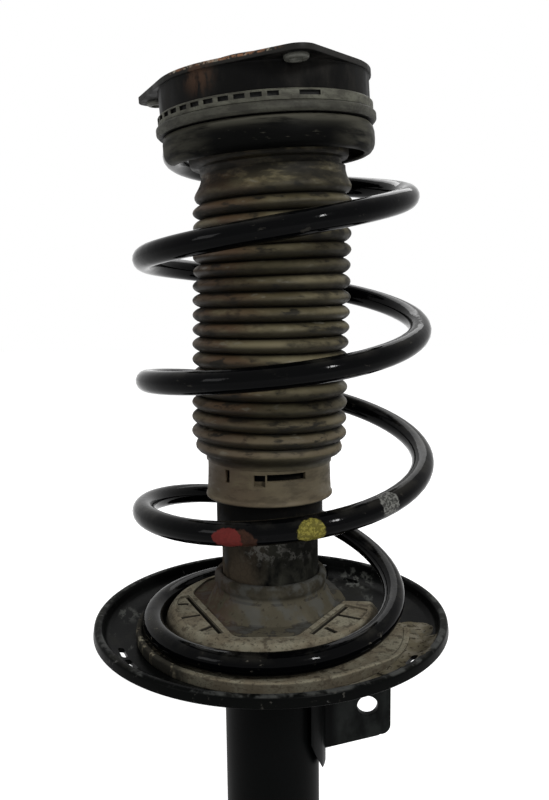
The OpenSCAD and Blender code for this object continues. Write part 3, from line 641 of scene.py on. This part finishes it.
def slab(name, outline, low, high):
    """A flat outline filled and extruded from one height to another."""
    piece = traced(name, outline, flat=True)
    bpy.ops.mesh.edge_face_add()
    bpy.ops.transform.translate(value=(0, 0, low * MM))
    bpy.ops.mesh.extrude_region_move(TRANSFORM_OT_translate={"value": (0, 0, (high - low) * MM)})
    bpy.ops.mesh.select_all(action="SELECT")
    bpy.ops.mesh.normals_make_consistent(inside=False)
    bpy.ops.object.mode_set(mode="OBJECT")
    return piece


def apply_last(piece):
    select_only(piece)
    bpy.ops.object.modifier_apply(modifier=piece.modifiers[-1].name)


def soft_edges(piece, radius, segments, angle):
    """Bevel the edges that turn by more than the angle."""
    edge = piece.modifiers.new("soft_edges", "BEVEL")
    edge.width = radius * MM
    edge.segments = segments
    edge.limit_method = "ANGLE"
    edge.angle_limit = math.radians(angle)
    apply_last(piece)


def combine(piece, tool, operation):
    """Make one mesh of two, and throw the tool away."""
    knife = piece.modifiers.new("combine", "BOOLEAN")
    knife.operation = operation
    knife.solver = "EXACT"
    knife.object = tool
    apply_last(piece)
    bpy.data.objects.remove(tool)


def cut(piece, tool):
    combine(piece, tool, "DIFFERENCE")


def weld(piece, tool):
    combine(piece, tool, "UNION")


def ease(x):
    """0 before 0, 1 after 1, and a soft S between them."""
    x = min(max(x, 0), 1)
    return x * x * (3 - 2 * x)


def move_mesh(piece, matrix):
    """Place a piece by its mesh, so that its object stays at the origin."""
    select_only(piece)
    piece.matrix_world = matrix
    bpy.ops.object.transform_apply(location=True, rotation=True, scale=True)


def finish_piece(piece, body, slot, *replaced, angle=35):
    """Smooth it, give it its finish, and let it ride on its body in place of the solids."""
    select_only(piece)
    bpy.ops.object.shade_smooth_by_angle(angle=math.radians(angle))
    piece.data.materials.clear()
    piece.data.materials.append(finishes[slot])
    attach(piece, body)
    if replaced:
        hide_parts(*replaced)
    print(piece.name, len(piece.data.polygons), "faces")


print("lathe helpers are ready")

# %% [markdown]
# ## The damper tube and its cap
# The tube is drawn steel with a rolled stop bead, which rests on the wheel's clamp, and a lip
# rolled over the top. The bump cap is a plastic cup pressed over that lip.

# %% The damper tube and its cap
tube = turned("damper_tube_shell", soften([
    (25, 0.02), (27.5, 0.02), (27.5, 78), (29.7, 79), (29.7, 82), (27.5, 83), (27.5, 309),
    (25.5, 311), (20, 311), (20, 309.5), (25, 309.5),
], 0.5), steps=128)
finish_piece(tube, "damper", "tube_paint", "damper_tube")

cap = turned("bump_cap_shell", soften([
    (27.6, 62), (29.7, 62), (30.2, 63.5), (30.2, 107), (27.2, 110), (15, 110), (15, 106.1), (27.6, 106.1),
], 0.9), lift=DISH_FLOOR)
finish_piece(cap, "damper", "cap_plastic", "bump_cap")

# %% [markdown]
# ## The spring dish
# A dish pressed from sheet steel: the rim is rolled over, the floor falls to a flat, and the
# middle is a raised platform with straight sides that key the pad. From the platform a cone
# rises to a rounded ring that is welded to the tube. The round parts are turned, the platform is
# a slab with its inside cut out, and the drain slots are cut afterwards with rounded cutters.

# %% The spring dish
RIM = 101.2
PLATFORM_TOP = 15
SHEET = 2.5
platform = [(-18.2, -50.6), (13.4, -50.6), (41.4, -4.6), (43.8, 0), (41.4, 15), (34, 37), (18, 49.5),
            (-18, 49.5), (-39.6, 32.6), (-46.8, 11.6)]


def grown(outline, amount):
    """A closed outline with every side moved outwards, or inwards if the amount is negative."""
    moved = []
    for i, corner in enumerate(outline):
        corner = Vector(corner)
        back = (corner - Vector(outline[i - 1])).normalized()
        ahead = (Vector(outline[(i + 1) % len(outline)]) - corner).normalized()
        out = Vector((back.y + ahead.y, -back.x - ahead.x)).normalized()
        moved.append(corner + out * amount / max(out.dot(Vector((back.y, -back.x))), 0.3))
    return moved


dish = turned("spring_dish_pressing", soften([
    (30, 0), (RIM - 15, 0), (RIM - 9, 1.8), (RIM - 6.6, 3.6), (RIM - 5.4, 8.6), (RIM - 4.2, 10),
    (RIM - 1.9, 10), (RIM - 0.7, 9), (RIM, 4.4), (RIM - 1.4, 4.2), (RIM - 2.6, 7.6), (RIM - 3.2, 7.6),
    (RIM - 4.2, 3.6), (RIM - 7.6, 0.2), (RIM - 14, -SHEET), (30, -SHEET),
], 2.2), steps=160, lift=DISH_FLOOR)
weld(dish, slab("platform", soften(platform, 5), DISH_FLOOR - 1.2, DISH_FLOOR + PLATFORM_TOP))
hollow = slab("hollow_cutter", soften(grown(platform, -SHEET), 4),
              DISH_FLOOR - 4, DISH_FLOOR + PLATFORM_TOP - SHEET)
cut(dish, hollow)
soft_edges(dish, 0.9, 3, 50)
cut(dish, turned("top_hole_cutter", rectangle(0, 9, 33.2, 15.4), lift=DISH_FLOOR))
cone = turned("neck_cone", soften([
    (27.6, 33.4), (28.4, 34.8), (30.6, 34.9), (32.2, 33), (32.3, 29.2), (31.2, 27), (31.6, 25.4),
    (34.4, 20), (36.2, 16.2), (38.2, 14.2), (35.4, 13.4), (33.6, 15.6), (29.9, 25.4), (27.6, 28.6),
], 1.6), steps=128, lift=DISH_FLOOR)
weld(dish, cone)
SLOT_RADIUS, SLOT_REACH = 1.6, 4.5
arc = [on_circle(SLOT_RADIUS, 15 * k, y=SLOT_REACH) for k in range(13)]
slot = arc + [(-x, -y) for x, y in arc]
for azimuth, distance in ((203, 87), (213, 87), (318, 87), (328, 87), (52, 87), (22, 67)):
    cutter = slab("slot_cutter", slot, DISH_FLOOR - 6, DISH_FLOOR + 6)
    move_mesh(cutter, turn_by(azimuth) @ shift_by(distance))
    cut(dish, cutter)
finish_piece(dish, "damper", "dish_paint", "spring_dish", angle=40)

# %% [markdown]
# ## The link bracket
# A thick plate with one hole, welded to a saddle on the tube. The solid's shape is right, so a
# copy of it only gets its doubled points merged, its flats joined and its edges bevelled.

# %% Softened copies of solids
def softened_copy(name, node, radius):
    copy = nodes[node].copy()
    copy.data = nodes[node].data.copy()
    bpy.context.scene.collection.objects.link(copy)
    copy.parent = None
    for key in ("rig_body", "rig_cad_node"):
        if key in copy:
            del copy[key]
    copy.name = copy.data.name = name
    select_only(copy)
    bpy.ops.object.mode_set(mode="EDIT")
    weld_points(2e-6)
    bpy.ops.mesh.dissolve_limited(angle_limit=math.radians(1))
    bpy.ops.object.mode_set(mode="OBJECT")
    soft_edges(copy, radius, 2, 40)
    return copy


bracket = softened_copy("link_bracket_plate", "link_bracket", 0.6)
finish_piece(bracket, "damper", "tube_paint", "link_bracket")

# %% [markdown]
# ## The lower pad
# A moulded rubber pad lies in the dish. From outside in it has a low lip, a groove for the wire
# and a raised part, which fits round the dish's platform and is open at the back right. Along the
# platform's two slanting front sides a thin wall stays, and behind it sunken lands lie between
# narrow slots. The round part is turned, the rest is cut out, and a bevel softens what the mould
# would have softened. Last, the lip's points at the right are moved down, where mud buries it.

# %% The lower pad
PAD_MIDDLE = Vector((1, -3))
PAD_TOP = 16
GROOVE_START = 61.4
CUT_LOW, CUT_HIGH = DISH_FLOOR - 1, DISH_FLOOR + 20
pad = turned("lower_pad_rubber", soften([
    (30, 0), (77.6, 0), (78, 0.6), (78, 5.6), (77.2, 6.2), (75.4, 6.2), (74.9, 5.6), (74.6, 3.4),
    (GROOVE_START, 3.4), (61, 4), (61, 9), (60.2, 11.8), (57.6, 15.1), (56, PAD_TOP), (30, PAD_TOP),
], 0.8), steps=160)
on_pad = shift_by(*PAD_MIDDLE, DISH_FLOOR)
move_mesh(pad, on_pad)
opening = soften(grown(platform, 0.4), 5)
cut(pad, slab("opening_cutter", opening, CUT_LOW, CUT_HIGH))
gap = [(0, 0), *(on_circle(100, a) for a in (-6, 16, 38, 60))]
cut(pad, slab("gap_cutter", gap, CUT_LOW, CUT_HIGH))


def land_outline(side, wall, start, end, reach):
    """The area behind a wall, from start to end along it, out to a reach from the pad's middle."""
    turn = Matrix.Rotation(math.radians(side), 2)
    outline = [turn @ Vector((wall, start))]
    out = turn @ Vector((1, 0))
    steps = 16
    for k in range(steps + 1):
        along_wall = start + (end - start) * k / steps
        base = turn @ Vector((0, along_wall)) - PAD_MIDDLE
        ahead = base.dot(out)
        far = -ahead + math.sqrt(max(ahead ** 2 - base.length_squared + reach * reach, 0))
        outline.append(turn @ Vector((max(far, wall + 0.5), along_wall)))
    outline.append(turn @ Vector((wall, end)))
    return outline


LAND_DEPTH, SLOT_DEPTH = 1.1, 6
WALL = 41.2
for side, start, end in ((204.7, -27, 31), (328.7, -30, 14)):
    land = land_outline(side, WALL, start, end, 55)
    cut(pad, slab("land_cutter", land, DISH_FLOOR + PAD_TOP - LAND_DEPTH, CUT_HIGH))
    long_slot = rectangle(WALL + 0.1, start + 0.5, WALL + 2.2, end - 0.5)
    cutter = slab("long_slot_cutter", long_slot, DISH_FLOOR + PAD_TOP - SLOT_DEPTH, DISH_FLOOR + 19)
    move_mesh(cutter, turn_by(side))
    cut(pad, cutter)
for azimuth, start in ((181, 48.5), (202, 43.5), (224, 45.5), (309, 44.5), (333, 41)):
    cutter = slab("short_slot_cutter", rectangle(start, -1.4, 54.6, 1.4), PAD_TOP - SLOT_DEPTH, 19)
    move_mesh(cutter, on_pad @ turn_by(azimuth))
    cut(pad, cutter)
soft_edges(pad, 0.4, 2, 40)
# At the right the lip is sunk, more and more from azimuth -56 to -22, to a fifth of its height.
LIP_SINK = 0.8
for vertex in pad.data.vertices:
    from_middle = vertex.co.xy - PAD_MIDDLE * MM
    azimuth = math.degrees(math.atan2(from_middle.y, from_middle.x))
    if from_middle.length > GROOVE_START * MM and -60 < azimuth < 20:
        vertex.co.z -= (vertex.co.z - DISH_FLOOR * MM) * LIP_SINK * ease((azimuth + 56) / 34)
finish_piece(pad, "damper", "pad_rubber", "lower_pad")

# %% [markdown]
# ## The coil spring
# The wire follows a path, so a curve with a round bevel is the natural tool. Its radius, height
# and lean change from turn to turn: a small end coil in the upper seat, wide free turns that bow
# to one side, and a dead coil on the pad. Each of these is given at a few stations, counted in
# turns from the top, and smoothed over two fifths of a turn.

# %% The path of the wire
height_at = [(0, 270), (0.5, 270), (1, 237), (1.5, 203.5), (2, 174), (2.5, 135), (3, 100), (3.5, 68),
             (3.9, 22), (4.15, 10), (4.75, 9.6)]
radius_at = [(0, 50), (0.55, 50), (0.8, 77), (1, 71), (2, 75), (2.9, 76), (3.4, 78), (3.9, 67),
             (4.2, 68.5), (4.75, 68.5)]
bow_at = [(0, 1.43), (0.5, 1.43), (1, 4), (2, 9), (3, 9), (4.1, 1), (4.75, 1)]
lean_at = [(0, 1.1), (0.5, 1.1), (1.5, 0), (3, -5), (4.1, -3), (4.75, -3)]
side_slope_at = [(0, 0.0649), (0.5, 0.0649), (2, -0.055), (3.5, -0.02), (4.3, 0), (4.75, 0)]
back_slope_at = [(0, 0.05), (0.5, 0.05), (2, 0.10), (3.5, 0.10), (4.3, 0), (4.75, 0)]
TURNS = 4.75
WIRE = 6


def along(stations, t):
    """The stations' value at t turns, straight between stations."""
    t = min(max(t, stations[0][0]), stations[-1][0])
    for (t0, v0), (t1, v1) in zip(stations, stations[1:]):
        if t <= t1:
            return v0 + (v1 - v0) * (t - t0) / (t1 - t0)
    return stations[-1][1]


def smoothed(stations, t):
    return sum(along(stations, t + d * 0.05) for d in range(-4, 5)) / 9


def wire_centre(t):
    a = math.radians(330 - 360 * t)
    r = smoothed(radius_at, t)
    slope = smoothed(side_slope_at, t) * math.cos(a) + smoothed(back_slope_at, t) * math.sin(a)
    return Vector((smoothed(bow_at, t) + r * math.cos(a), smoothed(lean_at, t) + r * math.sin(a),
                   DISH_FLOOR + smoothed(height_at, t) + r * slope)) * MM


# %% The coil spring
def keep_resting_place(piece):
    """Store where each vertex is at rest, for patterns on a piece that gets squeezed."""
    store = piece.data.attributes.new("resting_place", "FLOAT_VECTOR", "POINT")
    for vertex, item in zip(piece.data.vertices, store.data):
        item.vector = vertex.co


deselect_all()
bpy.ops.curve.primitive_nurbs_path_add(radius=0.1)
wire = bpy.context.object
wire.name = wire.data.name = "coil_spring_wire"
wire.data.splines.clear()
spline = wire.data.splines.new("POLY")
STEPS_PER_TURN = 60
spline.points.add(round(TURNS * STEPS_PER_TURN))
for i, point in enumerate(spline.points):
    point.co = (*wire_centre(i / STEPS_PER_TURN), 1)
wire.data.bevel_depth = WIRE * MM
wire.data.bevel_resolution = 6
wire.data.use_fill_caps = True
bpy.ops.object.convert(target="MESH")
wire = bpy.context.object
bpy.ops.object.mode_set(mode="EDIT")
weld_points(1e-6)
bpy.ops.mesh.normals_make_consistent(inside=False)
bpy.ops.object.mode_set(mode="OBJECT")
soft_edges(wire, 0.8, 2, 60)
keep_resting_place(wire)
finish_piece(wire, "damper", "spring_paint", "coil_spring", angle=50)
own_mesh(wire)

# %% [markdown]
# ## The dust boot
# The boot is a bellows: a foot, sixteen full ribs, a flared waist, and a plain neck with a bead
# that sits in the upper seat. The ribs are one half round repeated up the outline. The real boot
# isn't straight: it bows a little to one side, its upper ribs lean with the mount and its lowest
# ones the other way, and no two ribs are quite alike. So the turned mesh is then moved by height,
# and by noise with a fixed seed, because unseeded noise comes out differently each time.

# %% The dust boot
RIBS, RIB_PITCH, FIRST_RIB = 16, 8.15, 115.7
BOOT_WALL = 1.6
BOOT_BOW = math.radians(1.6)
UNEVEN = 0.55
SEED = 7


def set_crown(piece, crown_at):
    """Store how far out each point lies, from 0 in a valley to 1 on a rib's crown: it sets both the dust
    and the painted shade in the valleys.
    """
    store = piece.data.attributes.new("crown", "FLOAT", "POINT")
    for vertex, item in zip(piece.data.vertices, store.data):
        item.value = crown_at(vertex.co)


def boot_crown(point):
    """By the distance from the axis, with some dust all over the neck and the foot."""
    height = point.z / MM - DISH_FLOOR
    rib_crown = min(max((point.to_2d().length / MM - 38.6) / 4.7, 0), 1)
    return max(rib_crown, ease((height - 244) / 2) * 0.8, ease((112 - height) / 3) * 0.75)


def rib(middle, crest, depth, pitch):
    """Half a wave from one valley to the next, fuller than a circle, as blown rubber is."""
    return [(crest - depth + depth * math.sin(math.pi * k / 10) ** 0.75, middle + pitch * (k / 10 - 0.5))
            for k in range(10)]


outside = [(35.2, 99.6), (35.3, 101.2), (36.4, 103.2), (39.4, 104.6), (40.9, 106.2), (41.2, 107.8),
           (40.5, 109.8)]
for i in range(RIBS):
    outside += rib(FIRST_RIB + i * RIB_PITCH, 43.3, 4.3, RIB_PITCH)
outside += [(39.2, 242.2), (41.4, 243.4), (42.5, 245), (42.7, 246.4), (42.1, 248), (40.9, 250),
            (39.8, 252.2), (39.1, 254.6), (38.9, 257)]
inside = [(r - BOOT_WALL, z) for r, z in reversed(outside[5:])]
inside += [(37.6, 106.2), (35.4, 104.6), (34.6, 103.6)]
boot = turned("dust_boot_bellows", outside + inside, steps=144, lift=DISH_FLOOR)
set_crown(boot, boot_crown)
noise.seed_set(SEED)
for vertex in boot.data.vertices:
    height = vertex.co.z / MM - DISH_FLOOR
    upper, lower = ease((height - 165) / 80), ease((150 - height) / 40)
    vertex.co.z += (0.0649 * upper - 0.030 * lower) * vertex.co.x + 0.05 * upper * vertex.co.y
    wander = noise.noise_vector(Vector((vertex.co.x * 14, vertex.co.y * 14, vertex.co.z * 70)))
    vertex.co.x += (height - 103) * math.sin(BOOT_BOW) * MM
    vertex.co += Vector((wander.x, wander.y, wander.z * 0.9)) * UNEVEN * MM * ease((height - 106) / 8)
bead = turned("dust_boot_bead", soften([
    (37.1, -41), (38.8, -41), (38.9, -31.6), (42.4, -31.2), (43.3, -30), (43.3, -24.5), (42.4, -23.2),
    (41, -22.9), (41, -14.7), (38.4, -14.7), (38.4, -24), (37.3, -33),
], 0.8), steps=128)
move_mesh(bead, on_mount)
for vertex in bead.data.vertices:
    vertex.co.x += 2.1 * MM * ease((0.470 - vertex.co.z) / 0.016)
set_crown(bead, lambda point: 0.75)
select_only(boot, bead)
bpy.ops.object.join()
keep_resting_place(boot)
finish_piece(boot, "damper", "boot_rubber", "dust_boot", angle=50)
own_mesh(boot)

# %% [markdown]
# ## The boot's collar
# The boot's foot is held by a clip ring: a flared skirt below, and three groups of openings
# above, each a wide window, a notch and a narrow slit, through which the boot's tabs snap. The
# ring is turned and the openings are cut.

# %% The boot's collar
collar = turned("boot_collar_ring", soften([
    (30.3, 84.75), (33.5, 79.75), (35.75, 79.75), (35.75, 81), (35, 82), (34.7, 88), (34.4, 96),
    (34.4, 103), (32.4, 103), (32.4, 94), (30.3, 92),
], 0.6), steps=144, lift=DISH_FLOOR)
openings = ((286.4, 36, 93.6, 97.4), (261.7, 10.5, 90.8, 97), (230, 5, 91.6, 98.5))
shares = (1, 0.5, 0, -0.5, -1)
for group in range(3):
    for azimuth, width, low, high in openings:
        corners = [on_circle(31.5, width / 2 * share) for share in shares]
        corners += [on_circle(39, -width / 2 * share) for share in shares]
        window = slab("window_cutter", corners, DISH_FLOOR + low, DISH_FLOOR + high)
        move_mesh(window, turn_by(azimuth + 120 * group))
        cut(collar, window)
keep_resting_place(collar)
set_crown(collar, lambda point: 0.9)
finish_piece(collar, "damper", "boot_rubber", "boot_collar")

# %% [markdown]
# ## The upper seat
# A rubber ring wraps the spring's end coil, well over half way round the wire. Its outline
# follows the wire as a groove, and it is cut away at the back, where the wire leaves it.

# %% The upper seat
END_COIL = (50, -22.07)
ROOM = 0.55
groove = [on_circle(WIRE + ROOM, a, *END_COIL) for a in range(-75, 146, 10)]
seat = turned("upper_seat_rubber", [
    (44.9, -14.7), (54.2, -14.7), (55.6, -15.2), (56.9, -17), (57.5, -19.5), (57.6, -23), (57.4, -25.6),
    (56.7, -27.6), (55.4, -29.2), (53.8, -30), (52.2, -30.1), (51.6, -29.5), *groove, (44.9, -18.2),
], steps=128)
wire_exit = [(0, 0), *(on_circle(90, a) for a in range(76, 201, 31))]
cut(seat, slab("exit_cutter", wire_exit, -34, -15.6))
move_mesh(seat, on_mount)
finish_piece(seat, "spring_top", "seal_rubber", "upper_spring_seat")

# %% [markdown]
# ## The bearing's rings
# Two plastic rings with balls between them let the spring turn under the mount. The solids'
# shapes are right, slots included, so copies of them get merged and bevelled edges.

# %% The bearing's rings
upper_ring = softened_copy("bearing_upper_ring_moulding", "bearing_upper_ring", 0.25)
finish_piece(upper_ring, "top_mount", "bearing_plastic", "bearing_upper_ring")
lower_ring = softened_copy("bearing_lower_ring_moulding", "bearing_lower_ring", 0.3)
finish_piece(lower_ring, "spring_top", "bearing_plastic", "bearing_lower_ring")

# %% [markdown]
# ## The mount plate
# A three-cornered flange bolts to the car. Its outline is a disc with three round tips joined by
# straight flanks. The flange is a flat slab from that outline, a turned skirt hangs under it, and
# a turned cup stands on it round the rod's end. All three are welded into one pressing.

# %% The mount plate
DISC, TIP, BOLT_CIRCLE = 57.2, 10.3, 61
FLANGE_LOW, FLANGE_HIGH = 8.8, 11.6
bolt_azimuths = (285, 405, 525)
flank = math.degrees(math.acos((DISC - TIP) / BOLT_CIRCLE))
flange_outline = []
for azimuth in bolt_azimuths:
    middle = Vector(on_circle(1, azimuth)) * BOLT_CIRCLE
    for k in range(13):
        tip = on_circle(1, azimuth - flank + 2 * flank * k / 12)
        flange_outline.append(middle + Vector(tip) * TIP)
    for k in range(11):
        side = on_circle(1, azimuth + flank + (120 - 2 * flank) * k / 10)
        flange_outline.append(Vector(side) * DISC)
plate = slab("mount_plate_pressing", flange_outline, FLANGE_LOW, FLANGE_HIGH)
skirt = turned("skirt", [
    (53.5, -4.1), (56, -4.1), (56, 7.6), (56.4, 9.6), (53.1, 9.6), (53.5, 7.6),
], steps=128)
weld(plate, skirt)
cup = turned("cup", [
    (29.4, 10), (32.6, 10), (32, 11.8), (32, 17.8), (31.4, 19.2), (30, 19.8), (24.4, 19.8),
    (24, 19.4), (24, 17.6), (24.4, 17.2), (28.6, 17.2), (29.4, 16.4),
])
weld(plate, cup)
cut(plate, turned("well_cutter", rectangle(0, 7, 29.4, 12.4)))
for azimuth in bolt_azimuths:
    hole = turned("nut_hole_cutter", [
        (0, 6.7), (6.2, 6.7), (6.2, 9.2), (5.05, 9.2), (5.05, 13), (0, 13),
    ], steps=48)
    move_mesh(hole, turn_by(azimuth) @ shift_by(BOLT_CIRCLE))
    cut(plate, hole)
soft_edges(plate, 0.45, 2, 40)
move_mesh(plate, on_mount)
finish_piece(plate, "top_mount", "mount_paint", "mount_plate")

# %% [markdown]
# ## The captive nuts
# Three round nuts are pressed into the flange's corners from below. Each is turned in the middle
# and carried out to its corner, and the three are joined, as they are one piece in the solid
# model. Their threads are left out.

# %% The captive nuts
nuts = []
for azimuth in bolt_azimuths:
    nut = turned("captive_nut", soften([
        (3.4, 6.7), (4.6, 6.7), (5.6, 7.1), (6, 7.8), (6, 9.2), (5, 9.2), (5, FLANGE_HIGH),
        (3.8, FLANGE_HIGH), (3.4, 11.2),
    ], 0.25, 2), steps=48)
    move_mesh(nut, on_mount @ turn_by(azimuth) @ shift_by(BOLT_CIRCLE))
    nuts.append(nut)
select_only(*nuts)
bpy.ops.object.join()
nuts[0].name = "captive_nuts_plated"
finish_piece(nuts[0], "top_mount", "nut_plating", "captive_nuts")

# %% [markdown]
# ## Hidden soft pieces
# The foam bump stop hangs on the rod inside the boot and gets squeezed near the end of the
# stroke. The seal, the rebound stop and the mount's bonded rubber are small turned mouldings.

# %% Hidden soft pieces
STOP_LENGTH = 66
stop = turned("bump_stop_foam", soften([
    (11.1, 0), (15, 0), (18.5, 5), (19.5, 11), (17.4, 16), (21, 22), (21.8, 30), (19, 36), (23, 42),
    (24, 52), (24, 64), (23, STOP_LENGTH), (11.1, STOP_LENGTH),
], 2.2), steps=72, lift=484.5 - STOP_LENGTH)
finish_piece(stop, "rod", "foam", "bump_stop", angle=60)
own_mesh(stop)

seal = turned("oil_seal_rubber", soften([
    (11.05, 0.5), (14, 0.5), (15, 2), (18, 0), (24.9, 0), (24.9, 6), (16, 6), (14, 4.5), (11.05, 5.5),
], 0.4), steps=72, lift=303.5)
finish_piece(seal, "damper", "seal_rubber", "oil_seal")

rebound_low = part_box("rebound_stop")[0].z / MM
rebound = turned("rebound_stop_rubber", soften([
    (11, 0), (14.2, 0), (15, 2), (15, 18), (14.2, 20), (11, 20),
], 0.8), steps=72, lift=rebound_low)
finish_piece(rebound, "rod", "seal_rubber", "rebound_stop")

pocket = [on_circle(19.3, a) for a in range(-16, 19, 4)]
bonded = turned("mount_rubber_bonded", [
    (18.3, -5.6), (26, -6), (38, -2), (43.4, 2.6), (44, 3.4), (44, 8.8), (29.3, 8.8), (29.3, 14),
    (27, 14.4), (20.6, 7.4), *reversed(pocket),
])
move_mesh(bonded, on_mount)
finish_piece(bonded, "top_mount", "seal_rubber", "mount_rubber")

# %% [markdown]
# ## Light, floor and background
# Plain studio light: an even world and three lamps, one small enough to draw highlights on the
# wire, set so that a colour shows about as it is written. The floor and the world look white to
# the camera and in reflections. Near the strut the floor glows less, so that its shadow stays.

# %% Light, floor and background
world = bpy.data.worlds.new("studio")
bpy.context.scene.world = world
world.use_nodes = True
tree = world.node_tree
tree.nodes.clear()
rays = add("LightPath")
white = most(*[rays.outputs[f"Is {kind} Ray"] for kind in ("Camera", "Glossy", "Transmission")])
sky = add("Background", {"Color": (1, 1, 1, 1), "Strength": between(white, 0, 1, 0.4, 1.0)})
add("OutputWorld", {"Surface": sky.outputs[0]})

deselect_all()
bpy.ops.mesh.primitive_plane_add(size=12, location=(0, 0, -0.0005))
floor = bpy.context.object
floor.name = "floor"
tree, shader = new_finish("studio_paper", roughness=0.9, specular=0.1)
shader.inputs["Base Color"].default_value = (0.82, 0.82, 0.82, 1)
rays = add("LightPath")
white = most(rays.outputs["Is Camera Ray"], rays.outputs["Is Glossy Ray"])
glow = between(vector_calc("LENGTH", place()), 0.3, 1.4, 0.5, 0.75)
tree.links.new(times(white, glow), shader.inputs["Emission Strength"])
shader.inputs["Emission Color"].default_value = (1, 1, 1, 1)
floor.data.materials.append(finishes["studio_paper"])


def lamp(name, place_at, aim, size, power):
    bpy.ops.object.light_add(type="AREA", location=place_at)
    light = bpy.context.object
    light.name = name
    light.rotation_mode = "QUATERNION"
    light.rotation_quaternion = (Vector(aim) - Vector(place_at)).to_track_quat("-Z", "Y")
    light.data.shape = "RECTANGLE"
    light.data.size, light.data.size_y = size
    light.data.energy = power


lamp("window_right", (0.75, -1.15, 1.15), (0, 0, 0.3), (0.12, 0.34), 19)
lamp("soft_left", (-1.3, -0.9, 0.9), (0, 0, 0.3), (0.5, 0.5), 5)
lamp("back_top", (0.2, 1.2, 1.5), (0, 0, 0.3), (1.2, 0.8), 10)
print("studio light")
